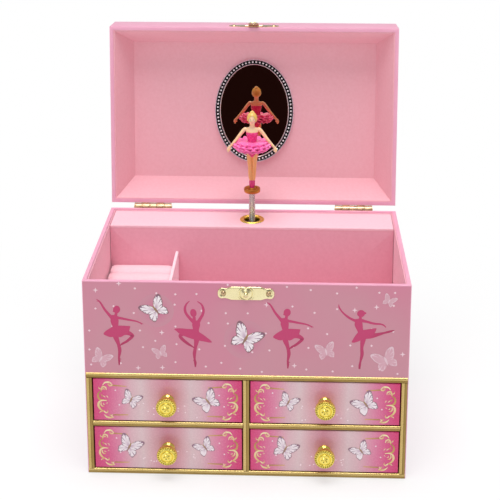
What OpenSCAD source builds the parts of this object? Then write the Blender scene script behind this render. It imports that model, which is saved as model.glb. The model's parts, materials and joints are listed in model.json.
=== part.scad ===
// Ballerina jewellery box: a covered board case with four drawers, a hinged lid with a mirror,
// and a clockwork movement that turns a figure on a spring.
// The origin is the centre of the case's footprint on the table. X is right, Y is back, Z is up.

/* [Case] */
// Overall width of the case
body_w = 260; // [220:1:320]
// Overall depth of the case
body_d = 163; // [145:1:200]
// Height of the compartment over the drawers, up to the rim
compartment_h = 79.6; // [74:0.2:110]
// Thickness of the covered boards
panel_t = 3.2; // [2.5:0.1:4.5]
// Thickness of the card lining
liner_t = 1; // [0.6:0.1:1.6]
// Drop of the lining's edge below the rim
liner_drop = 0.8; // [0.4:0.1:2]

/* [Drawers] */
// Height of one drawer opening
opening_h = 38.6; // [32:0.1:47]
// Height of the rails of the face frame
rail_h = 4.4; // [3.6:0.1:6]
// Width of the stile between the drawers
middle_stile_w = 5.2; // [4:0.1:8]
// Width of the two outer stiles
outer_stile_w = 4.8; // [4:0.1:8]
// Strip of side panel left showing beside the face frame
frame_inset = 0.6; // [0.4:0.1:1.5]
// Thickness of the face frame
frame_t = 1.6; // [1:0.1:2.5]
// Gap between a drawer front and its opening
front_gap = 0.8; // [0.5:0.1:1.5]
// Thickness of a drawer front
front_t = 3; // [2:0.1:5]
// Set-back of a drawer front behind the face frame
front_recess = 0.4; // [0:0.1:2]
// Height of a drawer tray
tray_h = 30; // [20:1:31]
// Wall and floor thickness of a drawer tray
tray_t = 2; // [1.2:0.1:3]
// Room behind a drawer tray
tray_back_gap = 8; // [4:1:20]

/* [Knobs] */
// Diameter of a knob
knob_d = 15.5; // [12:0.5:20]
// How far a knob stands out from its drawer front
knob_out = 14; // [10:0.5:18]
// Diameter of a knob's neck
knob_neck_d = 6; // [5:0.5:8]
// Diameter of a knob's stud
knob_stud_d = 4; // [3:0.1:4.6]

/* [Lid] */
// Overall height of the lid
lid_h = 36; // [30:1:50]
// How far the lid stands open, from its closed position
lid_open = 95; // [92:1:105]
// Gap between the closed lid and the rim
rim_gap = 0.3; // [0.2:0.1:1]
// Depth of the lining tray inside the lid
lid_tray_depth = 30; // [25:0.5:30]
// Slope inwards of the lining tray's walls, from rim to floor
lid_tray_slope = 13.8; // [6:0.2:18]

/* [Mirror] */
// Width of the mirror frame
mirror_w = 73.5; // [60:0.5:85]
// Height of the mirror frame
mirror_l = 97.5; // [80:0.5:105]
// Width of the frame's band
mirror_band = 5.6; // [4:0.1:8]
// How far the frame stands proud of the lining
mirror_proud = 4; // [3.2:0.1:5]
// Thickness of the mirror
mirror_t = 1.8; // [1.2:0.1:2.2]

/* [Hinges and clasp] */
// Distance of each hinge from the middle
hinge_x = 92; // [60:1:100]
// Length of each hinge
hinge_w = 34; // [24:1:40]
// Distance of the hinge pin behind the back panel
hinge_off = 3.7; // [3.2:0.1:5]
// Thickness of the hinge leaves
leaf_t = 0.8; // [0.6:0.1:1]
// Height of the hinge leaves
leaf_h = 12; // [9:0.5:18]
// Diameter of the hinge pins
hinge_pin_d = 2; // [1.5:0.1:2.4]
// Width of the clasp plates
clasp_w = 45; // [36:1:60]
// Height of the clasp plates
clasp_h = 11.5; // [9:0.5:13]
// Distance of the clasp's ball below the rim
clasp_drop = 8.7; // [7:0.1:12]
// Length of the hasp tongue
tongue_l = 16; // [15:0.5:20]
// Width of the hasp tongue
tongue_w = 9; // [7:0.5:11]
// How far the tongue stands out from the lid when it is loose
tongue_raise = 18; // [17:1:30]

/* [Music cover and rings] */
// Depth of the music cover from front to back
cover_d = 36; // [32:1:46]
// Drop of the music cover below the rim
cover_drop = 1.2; // [0.8:0.1:4]
// Thickness of the music cover
cover_t = 2.4; // [1.6:0.1:3]
// Gap at each end of the music cover
cover_gap = 1; // [0.5:0.1:2]
// Outer diameter of the grommet
grommet_d = 22; // [19:0.2:27]
// Bore of the grommet
grommet_bore = 14; // [11:0.5:16]
// Width of the ring section
ring_w = 61; // [45:1:80]
// Drop of the ring divider below the rim
divider_drop = 25; // [15:1:35]
// Thickness of the ring divider
divider_t = 2.5; // [1.6:0.1:4]
// Drop of the tops of the ring rolls below the rim
roll_drop = 36.6; // [30:0.2:45]
// Number of ring rolls
rolls = 7; // [5:1:9]

/* [Figure] */
// Height of the figure above its pedestal
figure_h = 71; // [60:1:80]
// Height of the pedestal above the music cover
pedestal_lift = 26.2; // [20:0.2:30]
// Diameter of the pedestal
pedestal_d = 14.5; // [12:0.5:18]
// Thickness of the pedestal
pedestal_t = 4; // [3:0.1:7]
// Diameter of the tutu
tutu_d = 35; // [28:1:38]
// Outer diameter of the spring neck
neck_d = 5.6; // [4.4:0.1:6]

/* [Movement] */
// Gear module
gear_m = 0.7; // [0.6:0.05:0.8]
// Teeth on the barrel's crown, on the cylinder gear, on the spindle gear and on the governor wheel
wheel_teeth = 24; // [24:2:28]
// Teeth on the cylinder's pinion
pinion_teeth = 10; // [10:2:12]
// Teeth on the governor's pinions
governor_teeth = 8; // [8:1:10]
// Diameter of the music cylinder
drum_d = 13; // [11:0.5:14]
// Length of the music cylinder
drum_l = 18; // [16:0.5:20]
// Number of comb teeth
comb_teeth = 18; // [12:1:22]
// Height of the key above the compartment's floor
key_lift = 18.6; // [17:0.2:20]
// Diameter of the arbors that carry wheels
arbor_d = 2; // [1.6:0.1:2.4]
// Diameter of the spring arbor and of the figure spindle
spindle_d = 3; // [2.6:0.1:3.2]

/* [Fits] */
// Radial clearance of a shaft that turns in a hole
running = 0.05; // [0.03:0.01:0.08]
// Gap between pieces that pass each other
passing = 0.4; // [0.3:0.05:0.6]

/* [Hidden] */

$fn = 64;
eps = 0.01;

// Case planes
half_w = body_w / 2;
half_d = body_d / 2;
in_x = half_w - panel_t;
in_y = half_d - panel_t;
frame_back_y = -half_d + frame_t;
frame_half_w = half_w - frame_inset;
frame_h = 3 * rail_h + 2 * opening_h;
body_h = frame_h + compartment_h;
lining_x = in_x - liner_t;
lining_y = in_y - liner_t;
floor_z = frame_h + liner_t;
lining_top = body_h - liner_drop;

// Drawers
opening_x0 = middle_stile_w / 2;
opening_x1 = frame_half_w - outer_stile_w;
opening_w = opening_x1 - opening_x0;
drawer_x = (opening_x0 + opening_x1) / 2;
drawer_z = [rail_h, 2 * rail_h + opening_h];
front_w = opening_w - 2 * front_gap;
front_y = -half_d + front_recess;
tray_y0 = front_y + front_t;
tray_y1 = in_y - tray_back_gap;

// Music cover
cover_y0 = lining_y - cover_d;
cover_y = lining_y - cover_d / 2;
cover_z = body_h - cover_drop;
cover_x = lining_x - cover_gap;

// Ring section
divider_x = -lining_x + ring_w;
ring_y0 = -lining_y + 0.2;
ring_y1 = cover_y0 - 0.2;
roll_pitch = (ring_y1 - ring_y0) / rolls;
roll_r = roll_pitch / 2 - passing;
roll_top = body_h - roll_drop;
roll_base = roll_top - 1.6 * roll_r;

// Lid, drawn closed
hinge_y = half_d + hinge_off;
lid_z = body_h + rim_gap;
lid_top = body_h + lid_h;
lid_wall_top = lid_top - panel_t;
lid_floor_z = body_h + lid_tray_depth;
lid_floor_x = lining_x - lid_tray_slope;
lid_floor_y = lining_y - lid_tray_slope;
mirror_z = lid_floor_z - mirror_proud;

// Hinges and clasp
knuckle_r = hinge_off - leaf_t + 0.2;
clasp_z = body_h - clasp_drop;
hasp_z = body_h + 2.6;
hasp_y = -half_d - 1.1;
leaf_brad_z = leaf_h * 0.62;

// Movement. Vertical arbors stand in one plane at the depth of the figure.
screw_d = 2;
figure_y = cover_y;
pitch_r = gear_m * wheel_teeth / 2;
pinion_r = gear_m * pinion_teeth / 2;
gov_r = gear_m * governor_teeth / 2;
key_z = floor_z + key_lift;
cylinder_x = -2 * pitch_r;
gov_x = cylinder_x - pitch_r - gov_r;
fan_x = gov_x - pitch_r - gov_r;
pinion_z = key_z + pitch_r;
pinion_face = 3;
drum_z = pinion_z + pinion_face / 2 + 4.1;
gear_z = drum_z + drum_l + 2;
gear_t = 3;
wheel_z = gear_z + 8;
wheel_t = 2;
bedplate_t = 2.5;
bedplate_y = lining_y - bedplate_t;
crown_y = figure_y + pinion_r;
barrel_y = crown_y + 0.7;
barrel_r = pitch_r + 2.6;
barrel_wall = 1;
bridge_y1 = crown_y - 0.9;
comb_y = figure_y;
comb_tip_x = cylinder_x - drum_d / 2 - 0.65;
comb_l = 15;
comb_t = 0.8;
bracket_z0 = gear_z - 1.8;
bracket_z1 = wheel_z + wheel_t + 6.2;
bracket_t = 1;
bedplate_screws = [[fan_x - 4, key_z - 12], [5, key_z - 12], [5, bracket_z1 - 1]];
comb_screws = [drum_z + drum_l * 0.2, drum_z + drum_l * 0.8];
comb_screw_x = comb_tip_x - comb_l * 0.8;
key_y0 = half_d + 2.5;
spindle_top = cover_z + 1.2;
pedestal_z = cover_z + pedestal_lift;
foot_z = pedestal_z + pedestal_t;

// ---------- helpers ----------

// A board given by its lowest and highest corners
module board(low, high) {
  translate(low) cube(high - low);
}

// A cylinder along Y from y0 to y1
module rod_y(x, z, y0, y1, r) {
  translate([x, y1, z]) rotate([90, 0, 0]) cylinder(r = r, h = y1 - y0);
}

// A cylinder along X, centred on x
module rod_x(x, y, z, l, r) {
  translate([x - l / 2, y, z]) rotate([0, 90, 0]) cylinder(r = r, h = l);
}

// A vertical cylinder from z0 to z1
module rod_z(x, y, z0, z1, r) {
  translate([x, y, z0]) cylinder(r = r, h = z1 - z0);
}

// Turns what is drawn closed to where the open lid stands
module open_lid() {
  translate([0, hinge_y, body_h])
    rotate([-lid_open, 0, 0])
      translate([0, -hinge_y, -body_h]) children();
}

// Outline of an ellipse with the given full sizes
module ellipse(w, l) {
  polygon([for (i = [0:71]) [w / 2 * cos(5 * i), l / 2 * sin(5 * i)]]);
}

// Outline of a spur gear: each tooth has sloping flanks and a flat top
module gear_outline(teeth, phase) {
  r = gear_m * teeth / 2;
  root = r - 1.1 * gear_m;
  tip = r + 0.75 * gear_m;
  half_root = 90 / teeth * 1.15;
  half_tip = 90 / teeth * 0.38;
  polygon([for (i = [0:teeth - 1]) for (p = [[-half_root, root], [-half_tip, tip],
    [half_tip, tip], [half_root, root]])
      let (a = phase + i * 360 / teeth + p[0]) [p[1] * cos(a), p[1] * sin(a)]]);
}

module gear(teeth, phase, thickness, bore_r) {
  linear_extrude(thickness) difference() {
    gear_outline(teeth, phase);
    circle(r = bore_r);
  }
}

// ---------- case ----------

module side_panel(side) {
  color("pink") difference() {
    board([min(side * in_x, side * half_w), -half_d, 0], [max(side * in_x, side * half_w), half_d, body_h]);
    board([min(side * 0, side * frame_half_w), -half_d - 1, -1],
      [max(side * 0, side * frame_half_w), frame_back_y, frame_h]);
  }
}
module left_side_panel() side_panel(-1);
module right_side_panel() side_panel(1);

module back_panel() {
  color("pink") difference() {
    board([-in_x, in_y, 0], [in_x, half_d, body_h]);
    rod_y(cylinder_x, key_z, in_y - 1, half_d + 1, spindle_d / 2 + 2.5);
  }
}

module upper_front_panel() {
  color("pink") board([-in_x, -half_d, frame_h], [in_x, -in_y, body_h]);
}

module base_board() {
  color("burlywood") board([-in_x, frame_back_y, 0], [in_x, in_y, rail_h]);
}

module compartment_floor() {
  color("burlywood") difference() {
    board([-in_x, -half_d, frame_h - panel_t], [in_x, in_y, frame_h]);
    board([-in_x - 1, -half_d - 1, 0], [in_x + 1, frame_back_y, frame_h + 1]);
  }
}

module drawer_shelf() {
  color("burlywood") for (side = [-1, 1])
    translate([side * (panel_t / 2 + in_x) / 2, (frame_back_y + in_y) / 2, drawer_z[1] - panel_t / 2])
      cube([in_x - panel_t / 2, in_y - frame_back_y, panel_t], center = true);
}

module drawer_partition() {
  color("burlywood") board([-panel_t / 2, frame_back_y, rail_h], [panel_t / 2, in_y, frame_h - panel_t]);
}

module drawer_face_frame() {
  color("gold") difference() {
    board([-frame_half_w, -half_d, 0], [frame_half_w, frame_back_y, frame_h]);
    for (side = [-1, 1]) for (z = drawer_z)
      translate([side * drawer_x - opening_w / 2, -half_d - 1, z]) cube([opening_w, frame_t + 2, opening_h]);
  }
}

module case_lining() {
  color("lightpink") {
    for (side = [-1, 1])
      translate([side * (in_x - liner_t / 2), 0, (floor_z + lining_top) / 2])
        cube([liner_t, 2 * in_y, lining_top - floor_z], center = true);
    board([-lining_x, -in_y, floor_z], [lining_x, -lining_y, lining_top]);
    difference() {
      board([-lining_x, lining_y, floor_z], [lining_x, in_y, lining_top]);
      rod_y(cylinder_x, key_z, lining_y - 1, in_y + 1, spindle_d / 2 + 2.5);
      for (p = bedplate_screws) rod_y(p[0], p[1], lining_y - 1, in_y + 1, screw_d / 2 + passing);
    }
    board([-in_x, -in_y, frame_h], [in_x, in_y, floor_z]);
  }
}

// A step of covered board over the movement: a top and a front
module music_cover() {
  color("lightpink") {
    difference() {
      board([-cover_x, cover_y0, cover_z - cover_t], [cover_x, lining_y, cover_z]);
      rod_z(0, figure_y, cover_z - cover_t - 1, cover_z + 1, grommet_bore / 2 + 1);
    }
    board([-cover_x, cover_y0, floor_z], [cover_x, cover_y0 + cover_t, cover_z - cover_t]);
  }
}

// A rolled brass eyelet
module grommet() {
  bore = grommet_bore / 2;
  flange = grommet_d / 2;
  bead = (flange - bore) / 2;
  color("gold") translate([0, figure_y, cover_z]) rotate_extrude() {
    difference() {
      translate([bore + bead, 0]) circle(r = bead);
      translate([0, -2 * bead]) square([flange + 1, 2 * bead]);
    }
    translate([bore, -cover_t - 1]) square([1, cover_t + 1]);
  }
}

module ring_divider() {
  color("pink") board([divider_x - divider_t, ring_y0, floor_z],
    [divider_x, ring_y1, body_h - divider_drop]);
}

// A raised tray that carries the rolls
module ring_tray() {
  color("lightpink") difference() {
    board([-lining_x + 0.1, ring_y0, floor_z], [divider_x - divider_t - 0.1, ring_y1, roll_base]);
    board([-lining_x + 2.1, ring_y0 - 1, floor_z - 1], [divider_x - divider_t - 2.1, ring_y1 + 1, roll_base - 2]);
  }
}

module ring_rolls() {
  roll_l = ring_w - divider_t - 0.6;
  color("pink") for (i = [0:rolls - 1])
    intersection() {
      rod_x(-lining_x + 0.3 + roll_l / 2, ring_y0 + (i + 0.5) * roll_pitch, roll_top - roll_r, roll_l, roll_r);
      board([-half_w, -half_d, roll_base], [half_w, half_d, body_h]);
    }
}

// Outline shared by the clasp plate and the hasp plate: a wide middle and rounded ears
module clasp_outline() {
  ear_r = clasp_h * 0.4;
  polygon([for (p = [[-0.34, -0.36], [-0.27, -0.5], [0.27, -0.5], [0.34, -0.36],
    [0.34, 0.36], [0.27, 0.5], [-0.27, 0.5], [-0.34, 0.36]]) [p[0] * clasp_w, p[1] * clasp_h]]);
  square([clasp_w - 2 * ear_r, 1.6 * ear_r], center = true);
  for (side = [-1, 1]) translate([side * (clasp_w / 2 - ear_r), 0]) circle(r = ear_r);
}
clasp_brad_x = clasp_w / 2 - clasp_h * 0.4;

// Pressed plate with a raised ring, a dome and a ball
module clasp_plate() {
  color("gold") translate([0, -half_d, clasp_z]) rotate([90, 0, 0]) {
    linear_extrude(0.7) difference() {
      clasp_outline();
      for (side = [-1, 1]) translate([side * clasp_brad_x, 0]) circle(r = 0.7);
    }
    cylinder(r = clasp_h * 0.6, h = 0.9);
    cylinder(r1 = clasp_h * 0.37, r2 = clasp_h * 0.2, h = 2);
    translate([0, 0, 2.7]) sphere(r = 1.5);
  }
}

module leaf_plate(z0, z1) {
  for (side = [-1, 1])
    board([side * hinge_x - hinge_w / 2, half_d, z0], [side * hinge_x + hinge_w / 2, half_d + leaf_t, z1]);
}

// Knuckles of both hinges: odd = 0 gives the outer and middle ones, odd = 1 those between
module knuckles(odd, r) {
  pitch = hinge_w / 5;
  for (side = [-1, 1]) for (i = [odd:2:4])
    rod_x(side * hinge_x + (i - 2) * pitch, hinge_y, body_h, pitch - passing / 2, r);
}

module leaf_holes(z) {
  for (side = [-1, 1]) for (k = [-1, 1])
    rod_y(side * hinge_x + k * hinge_w * 0.32, z, half_d - 1, half_d + leaf_t + 1, 0.7);
}

module hinge_lower_leaves() {
  color("gold") difference() {
    union() {
      difference() {
        leaf_plate(body_h - leaf_h, body_h - 0.2);
        knuckles(1, knuckle_r + passing);
      }
      knuckles(0, knuckle_r);
    }
    leaf_holes(body_h - leaf_brad_z);
    for (side = [-1, 1]) rod_x(side * hinge_x, hinge_y, body_h, hinge_w + 2, hinge_pin_d / 2 + running);
  }
}

module hinge_upper_leaves() {
  color("gold") open_lid() difference() {
    union() {
      difference() {
        leaf_plate(lid_z, body_h + leaf_h);
        knuckles(0, knuckle_r + passing);
      }
      knuckles(1, knuckle_r);
    }
    leaf_holes(body_h + leaf_brad_z);
    for (side = [-1, 1]) rod_x(side * hinge_x, hinge_y, body_h, hinge_w + 2, hinge_pin_d / 2 + running);
  }
}

module hinge_pins() {
  color("goldenrod") for (side = [-1, 1])
    rod_x(side * hinge_x, hinge_y, body_h, hinge_w + 1, hinge_pin_d / 2);
}

// A dome-headed brad that points along +Y, with its head's underside at y = 0
module brad() {
  rotate([90, 0, 0]) {
    intersection() {
      translate([0, 0, -1.2]) sphere(r = 2.2);
      cylinder(r = 3, h = 2);
    }
    translate([0, 0, -3]) cylinder(r = 0.6, h = 3 + eps);
  }
}

module clasp_brads(z) {
  for (side = [-1, 1]) translate([side * clasp_brad_x, -half_d - 0.7, z]) brad();
}

module leaf_brads(z) {
  for (side = [-1, 1]) for (k = [-1, 1])
    translate([side * hinge_x + k * hinge_w * 0.32, half_d + leaf_t, z]) rotate([0, 0, 180]) brad();
}

module case_brads() {
  color("gold") {
    clasp_brads(clasp_z);
    leaf_brads(body_h - leaf_brad_z);
  }
}

// ---------- movement ----------

// Casting screwed to the back: a plate, a comb block, an upper lug and a bridge in front of the barrel
module movement_bedplate() {
  lug_z = gear_z + gear_t + 1;
  post_x = cylinder_x - barrel_r - 5;
  color("silver") difference() {
    union() {
      board([fan_x - 7, bedplate_y, key_z - 15], [8, lining_y, bracket_z1 + 2]);
      board([comb_tip_x - comb_l - 1, comb_y + comb_t / 2, drum_z],
        [comb_tip_x - comb_l / 2, bedplate_y + eps, drum_z + drum_l]);
      board([cylinder_x - 4, figure_y - 4, lug_z], [4, bedplate_y + eps, lug_z + 2]);
      board([post_x, bridge_y1 - 6, key_z + 2.5], [post_x + 4, bedplate_y + eps, key_z + 5.5]);
      board([post_x, bridge_y1 - 6, key_z + 2.5], [cylinder_x + 4, bridge_y1, key_z + 5.5]);
      board([cylinder_x - 4, bridge_y1 - 6, key_z - 4], [cylinder_x + 4, bridge_y1, key_z + 5.5]);
    }
    rod_y(cylinder_x, key_z, bridge_y1 - 3, lining_y + 1, spindle_d / 2 + running);
    rod_z(cylinder_x, figure_y, key_z + 3, lug_z + 3, arbor_d / 2 + running);
    rod_z(0, figure_y, lug_z - 1, lug_z + 3, spindle_d / 2 + running);
  }
}

// Steel comb: a back strip and teeth that end just short of the pins
module comb() {
  pitch = drum_l / comb_teeth;
  tooth_l = comb_l * 0.6;
  color("lightsteelblue") difference() {
    translate([comb_tip_x, comb_y - comb_t / 2, drum_z]) {
      board([-comb_l, 0, 0], [-tooth_l, comb_t, drum_l]);
      for (i = [0:comb_teeth - 1])
        board([-tooth_l - eps, 0, (i + 0.2) * pitch], [0, comb_t, (i + 0.8) * pitch]);
    }
    for (z = comb_screws) rod_y(comb_screw_x, z, comb_y - comb_t, comb_y + comb_t, screw_d / 2 + running);
  }
}

// Folded bracket that carries the governor's two arbors
module governor_bracket() {
  x0 = fan_x - 5;
  x1 = gov_x + 4;
  color("silver") difference() {
    union() {
      board([x0, bedplate_y - 1.2, bracket_z0], [x1, bedplate_y, bracket_z1]);
      for (z = [bracket_z0, bracket_z1 - bracket_t])
        board([x0, figure_y - 4, z], [x1, bedplate_y, z + bracket_t]);
    }
    for (x = [gov_x, fan_x])
      rod_z(x, figure_y, bracket_z0 - 1, bracket_z1 + 1, arbor_d / 2 + running);
  }
}

module screw_y(x, z, y, l) {
  rod_y(x, z, y - 1.2, y, 2);
  rod_y(x, z, y - eps, y + l, screw_d / 2);
}

module movement_screws() {
  color("gray") {
    for (p = bedplate_screws) screw_y(p[0], p[1], bedplate_y, bedplate_t + liner_t + panel_t * 0.8);
    for (z = comb_screws) screw_y(comb_screw_x, z, comb_y - comb_t / 2, 4);
  }
}

// Butterfly key: a flat handle with two lobes on a socket
module winding_key() {
  lobe_x = 7;
  handle_y = key_y0 + 8;
  color("silver") translate([cylinder_x, 0, key_z]) {
    difference() {
      rod_y(0, 0, key_y0, handle_y + 2, 3);
      rod_y(0, 0, key_y0 - 1, key_y0 + 7, spindle_d / 2);
    }
    translate([0, handle_y + 5, 0]) {
      for (side = [-1, 1]) difference() {
        translate([side * lobe_x, 0, -1]) cylinder(r = 5.5, h = 2);
        translate([side * lobe_x, 0, -2]) cylinder(r = 2.4, h = 4);
      }
      translate([0, -1, 0]) cube([8, 8, 2], center = true);
    }
  }
}

module spring_arbor() {
  color("silver") rod_y(cylinder_x, key_z, bridge_y1 - 2.8, key_y0 + 7, spindle_d / 2);
}

// Drum for the spring, open at the back, with crown teeth on its front that drive the pinion
module spring_barrel() {
  tooth = PI * gear_m / 2 * 0.72;
  barrel_back = bedplate_y - 0.6;
  color("goldenrod") translate([cylinder_x, 0, key_z]) difference() {
    union() {
      rod_y(0, 0, barrel_y, barrel_back, barrel_r);
      for (i = [0:wheel_teeth - 1]) rotate([0, i * 360 / wheel_teeth, 0])
        translate([0, 0, pitch_r]) rotate([90, 0, 0])
          translate([0, 0, -barrel_y - eps]) linear_extrude(barrel_y - crown_y + 0.75 * gear_m + eps)
            square([tooth, 2], center = true);
    }
    rod_y(0, 0, crown_y - 2, barrel_back + 1, spindle_d / 2 + running);
    rod_y(0, 0, barrel_y + barrel_wall, barrel_back + 1, barrel_r - barrel_wall);
  }
}

// Flat spring wound in a spiral inside the barrel
module mainspring() {
  turns = 6;
  steps = 24;
  r0 = spindle_d / 2 + 0.4;
  r1 = barrel_r - barrel_wall - 0.5;
  strip = 0.35;
  function spiral(i, side) =
    let (a = i * 360 / steps, r = r0 + (r1 - r0) * i / (turns * steps) + side * strip / 2)
    [r * cos(a), r * sin(a)];
  last = turns * steps;
  color("slategray") translate([cylinder_x, bedplate_y - 1.2, key_z]) rotate([90, 0, 0])
    linear_extrude(bedplate_y - barrel_y - barrel_wall - 2.2)
      polygon(concat([for (i = [0:last]) spiral(i, 1)], [for (i = [last:-1:0]) spiral(i, -1)]));
}

// Brass cylinder with raised pins, its pinion below and its arbor
module pin_cylinder() {
  track = drum_l / comb_teeth;
  color("goldenrod") translate([cylinder_x, figure_y, 0]) {
    rod_z(0, 0, key_z + 3.2, gear_z + gear_t + 3.2, arbor_d / 2);
    rod_z(0, 0, drum_z, drum_z + drum_l, drum_d / 2);
    rod_z(0, 0, pinion_z + pinion_face / 2 - eps, drum_z + eps, arbor_d / 2 + 1);
    translate([0, 0, pinion_z - pinion_face / 2]) linear_extrude(pinion_face)
      gear_outline(pinion_teeth, 90 + 180 / pinion_teeth);
    for (i = [0:comb_teeth - 1]) for (k = [0, 1])
      rotate([0, 0, 47 * i + 151 * k + 20])
        translate([drum_d / 2 - 0.3, 0, drum_z + (i + 0.5) * track])
          rotate([0, 90, 0]) cylinder(r = 0.25, h = 0.8, $fn = 6);
  }
}

module cylinder_gear() {
  color("gold") translate([cylinder_x, figure_y, gear_z]) gear(wheel_teeth, 0, gear_t, arbor_d / 2);
}

// Governor wheel and pinion on one arbor
module governor_gear() {
  color("gold") translate([gov_x, figure_y, 0]) {
    rod_z(0, 0, bracket_z0, bracket_z1, arbor_d / 2);
    translate([0, 0, gear_z]) linear_extrude(gear_t) gear_outline(governor_teeth, 180 / governor_teeth);
    translate([0, 0, wheel_z]) linear_extrude(wheel_t) gear_outline(wheel_teeth, 0);
  }
}

// Air brake: a pinion and two blades on one arbor
module governor_fan() {
  blade_r = 6;
  color("silver") translate([fan_x, figure_y, 0]) {
    rod_z(0, 0, bracket_z0, bracket_z1, arbor_d / 2);
    translate([0, 0, wheel_z]) linear_extrude(wheel_t) gear_outline(governor_teeth, 180 / governor_teeth);
    board([-blade_r, -0.3, wheel_z + wheel_t + 0.6], [blade_r, 0.3, bracket_z1 - bracket_t - 0.6]);
  }
}

// Upright spindle that carries the figure, with its gear
module figure_spindle() {
  color("silver") translate([0, figure_y, 0]) {
    rod_z(0, 0, gear_z - 3, spindle_top, spindle_d / 2);
    translate([0, 0, gear_z]) linear_extrude(gear_t) gear_outline(wheel_teeth, 180 / wheel_teeth);
  }
}

// ---------- figure ----------

// The spring's envelope: a tube on the spindle's top, up to the pedestal
module figure_spring() {
  color("silver") translate([0, figure_y, 0]) difference() {
    rod_z(0, 0, cover_z - cover_t, pedestal_z, neck_d / 2);
    rod_z(0, 0, cover_z - cover_t - 1, pedestal_z - 1, spindle_d / 2 + 0.2);
  }
}

// Turned disc with a groove and a raised hub
module pedestal() {
  r = pedestal_d / 2;
  color("darkgoldenrod") translate([0, figure_y, pedestal_z]) rotate_extrude()
    polygon([[0, 0], [r - 0.8, 0], [r, 0.8], [r, pedestal_t - 1.2], [r - 0.8, pedestal_t - 0.4],
      [r * 0.72, pedestal_t - 0.4], [r * 0.6, pedestal_t - 1.6], [r * 0.42, pedestal_t - 1.6],
      [r * 0.38, pedestal_t], [0, pedestal_t]]);
}

// Heights on the figure, as shares of its height
waist_f = 0.62;
shoulder_f = 0.775;
chin_f = 0.83;
tutu_low_f = 0.42;
tutu_wide_f = 0.54;
waist_r = 2.9;

// Body of the figure as turned shapes, with bent arms
module ballerina_figure() {
  function h(f) = f * figure_h;
  color("bisque") translate([0, figure_y, foot_z]) {
    rotate_extrude() polygon([[0, 0], [1.1, 0], [1.6, h(0.06)], [1.7, h(0.15)], [2.6, h(0.28)],
      [2.5, h(0.4)], [3.4, h(0.5)], [waist_r, h(waist_f - 0.05)], [waist_r, h(waist_f + 0.01)],
      [4.1, h(0.70)], [4.4, h(shoulder_f - 0.02)], [1.7, h(shoulder_f + 0.02)], [1.5, h(chin_f + 0.02)], [0, h(chin_f + 0.02)]]);
    translate([0, 0, h(0.9)]) sphere(r = h(0.07));
    translate([0, 0.05 * figure_h, h(0.955)]) sphere(r = h(0.045));
    for (side = [-1, 1]) {
      hull() {
        translate([side * 6.6, 0, h(shoulder_f - 0.02)]) sphere(r = 1.7, $fn = 16);
        translate([side * 13.6, -1, h(0.62)]) sphere(r = 1.3, $fn = 16);
      }
      hull() {
        translate([side * 13.6, -1, h(0.62)]) sphere(r = 1.3, $fn = 16);
        translate([side * 21.5, -3, h(0.5)]) sphere(r = 1.1, $fn = 16);
      }
      hull() {
        translate([side * 6.6, 0, h(shoulder_f - 0.02)]) sphere(r = 1.7, $fn = 16);
        translate([side * 2, 0, h(shoulder_f - 0.04)]) sphere(r = 2.2, $fn = 16);
      }
    }
  }
}

// Short flared skirt round the waist
module tutu() {
  r = tutu_d / 2;
  top = waist_f * figure_h;
  wide = tutu_wide_f * figure_h;
  low = tutu_low_f * figure_h;
  color("deeppink") translate([0, figure_y, foot_z]) rotate_extrude()
    polygon([[waist_r, top], [waist_r + 1.2, top], [r * 0.6, wide + 2.4], [r, wide - 1],
      [r * 0.93, low + 2], [r * 0.6, low], [waist_r + 2.6, low + 6], [waist_r, top - 2.5]]);
}

// ---------- lid ----------

module lid_panel() {
  color("pink") open_lid() board([-half_w, -half_d, lid_wall_top], [half_w, half_d, lid_top]);
}

module lid_side_wall(side) {
  color("pink") open_lid()
    translate([side * (half_w - panel_t / 2), 0, (lid_z + lid_wall_top) / 2])
      cube([panel_t, body_d, lid_wall_top - lid_z], center = true);
}
module lid_left_wall() lid_side_wall(-1);
module lid_right_wall() lid_side_wall(1);

module lid_end_wall(side) {
  color("pink") open_lid()
    translate([0, side * (half_d - panel_t / 2), (lid_z + lid_wall_top) / 2])
      cube([2 * in_x, panel_t, lid_wall_top - lid_z], center = true);
}
module lid_front_wall() lid_end_wall(-1);
module lid_back_wall() lid_end_wall(1);

// A tapering block from the rim to the height given, used for the two faces of the lining tray
module lid_taper(grow, z0, z1) {
  hull() {
    translate([0, 0, z0]) cube([2 * (lining_x + grow), 2 * (lining_y + grow), eps], center = true);
    translate([0, 0, z1]) cube([2 * (lid_floor_x + grow), 2 * (lid_floor_y + grow), eps], center = true);
  }
}

module lid_lining() {
  color("lightpink") open_lid() difference() {
    lid_taper(liner_t - eps, lid_z + liner_drop, lid_floor_z + liner_t);
    lid_taper(0, lid_z + liner_drop - eps, lid_floor_z);
  }
}

module mirror() {
  recess = mirror_w - 2 * mirror_band + 2.5;
  color("lightgray") open_lid() translate([0, 0, lid_floor_z - mirror_t - 0.1])
    linear_extrude(mirror_t) ellipse(recess, recess + mirror_l - mirror_w);
}

// Oval frame with a rabbet that holds the mirror
module mirror_frame() {
  sight = mirror_w - 2 * mirror_band;
  recess = sight + 2.7;
  longer = mirror_l - mirror_w;
  color("black") open_lid() {
    translate([0, 0, mirror_z]) linear_extrude(mirror_proud - mirror_t - 0.1) difference() {
      ellipse(mirror_w, mirror_l);
      ellipse(sight, sight + longer);
    }
    translate([0, 0, lid_floor_z - mirror_t - 0.1 - eps]) linear_extrude(mirror_t + 0.1) difference() {
      ellipse(mirror_w, mirror_l);
      ellipse(recess, recess + longer);
    }
  }
}

module lid_brads() {
  color("gold") open_lid() {
    clasp_brads(hasp_plate_z);
    leaf_brads(body_h + leaf_brad_z);
  }
}
hasp_plate_z = hasp_z + clasp_h / 2 + 0.6;
loop_x = tongue_w / 2 + 1.9;

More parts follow.
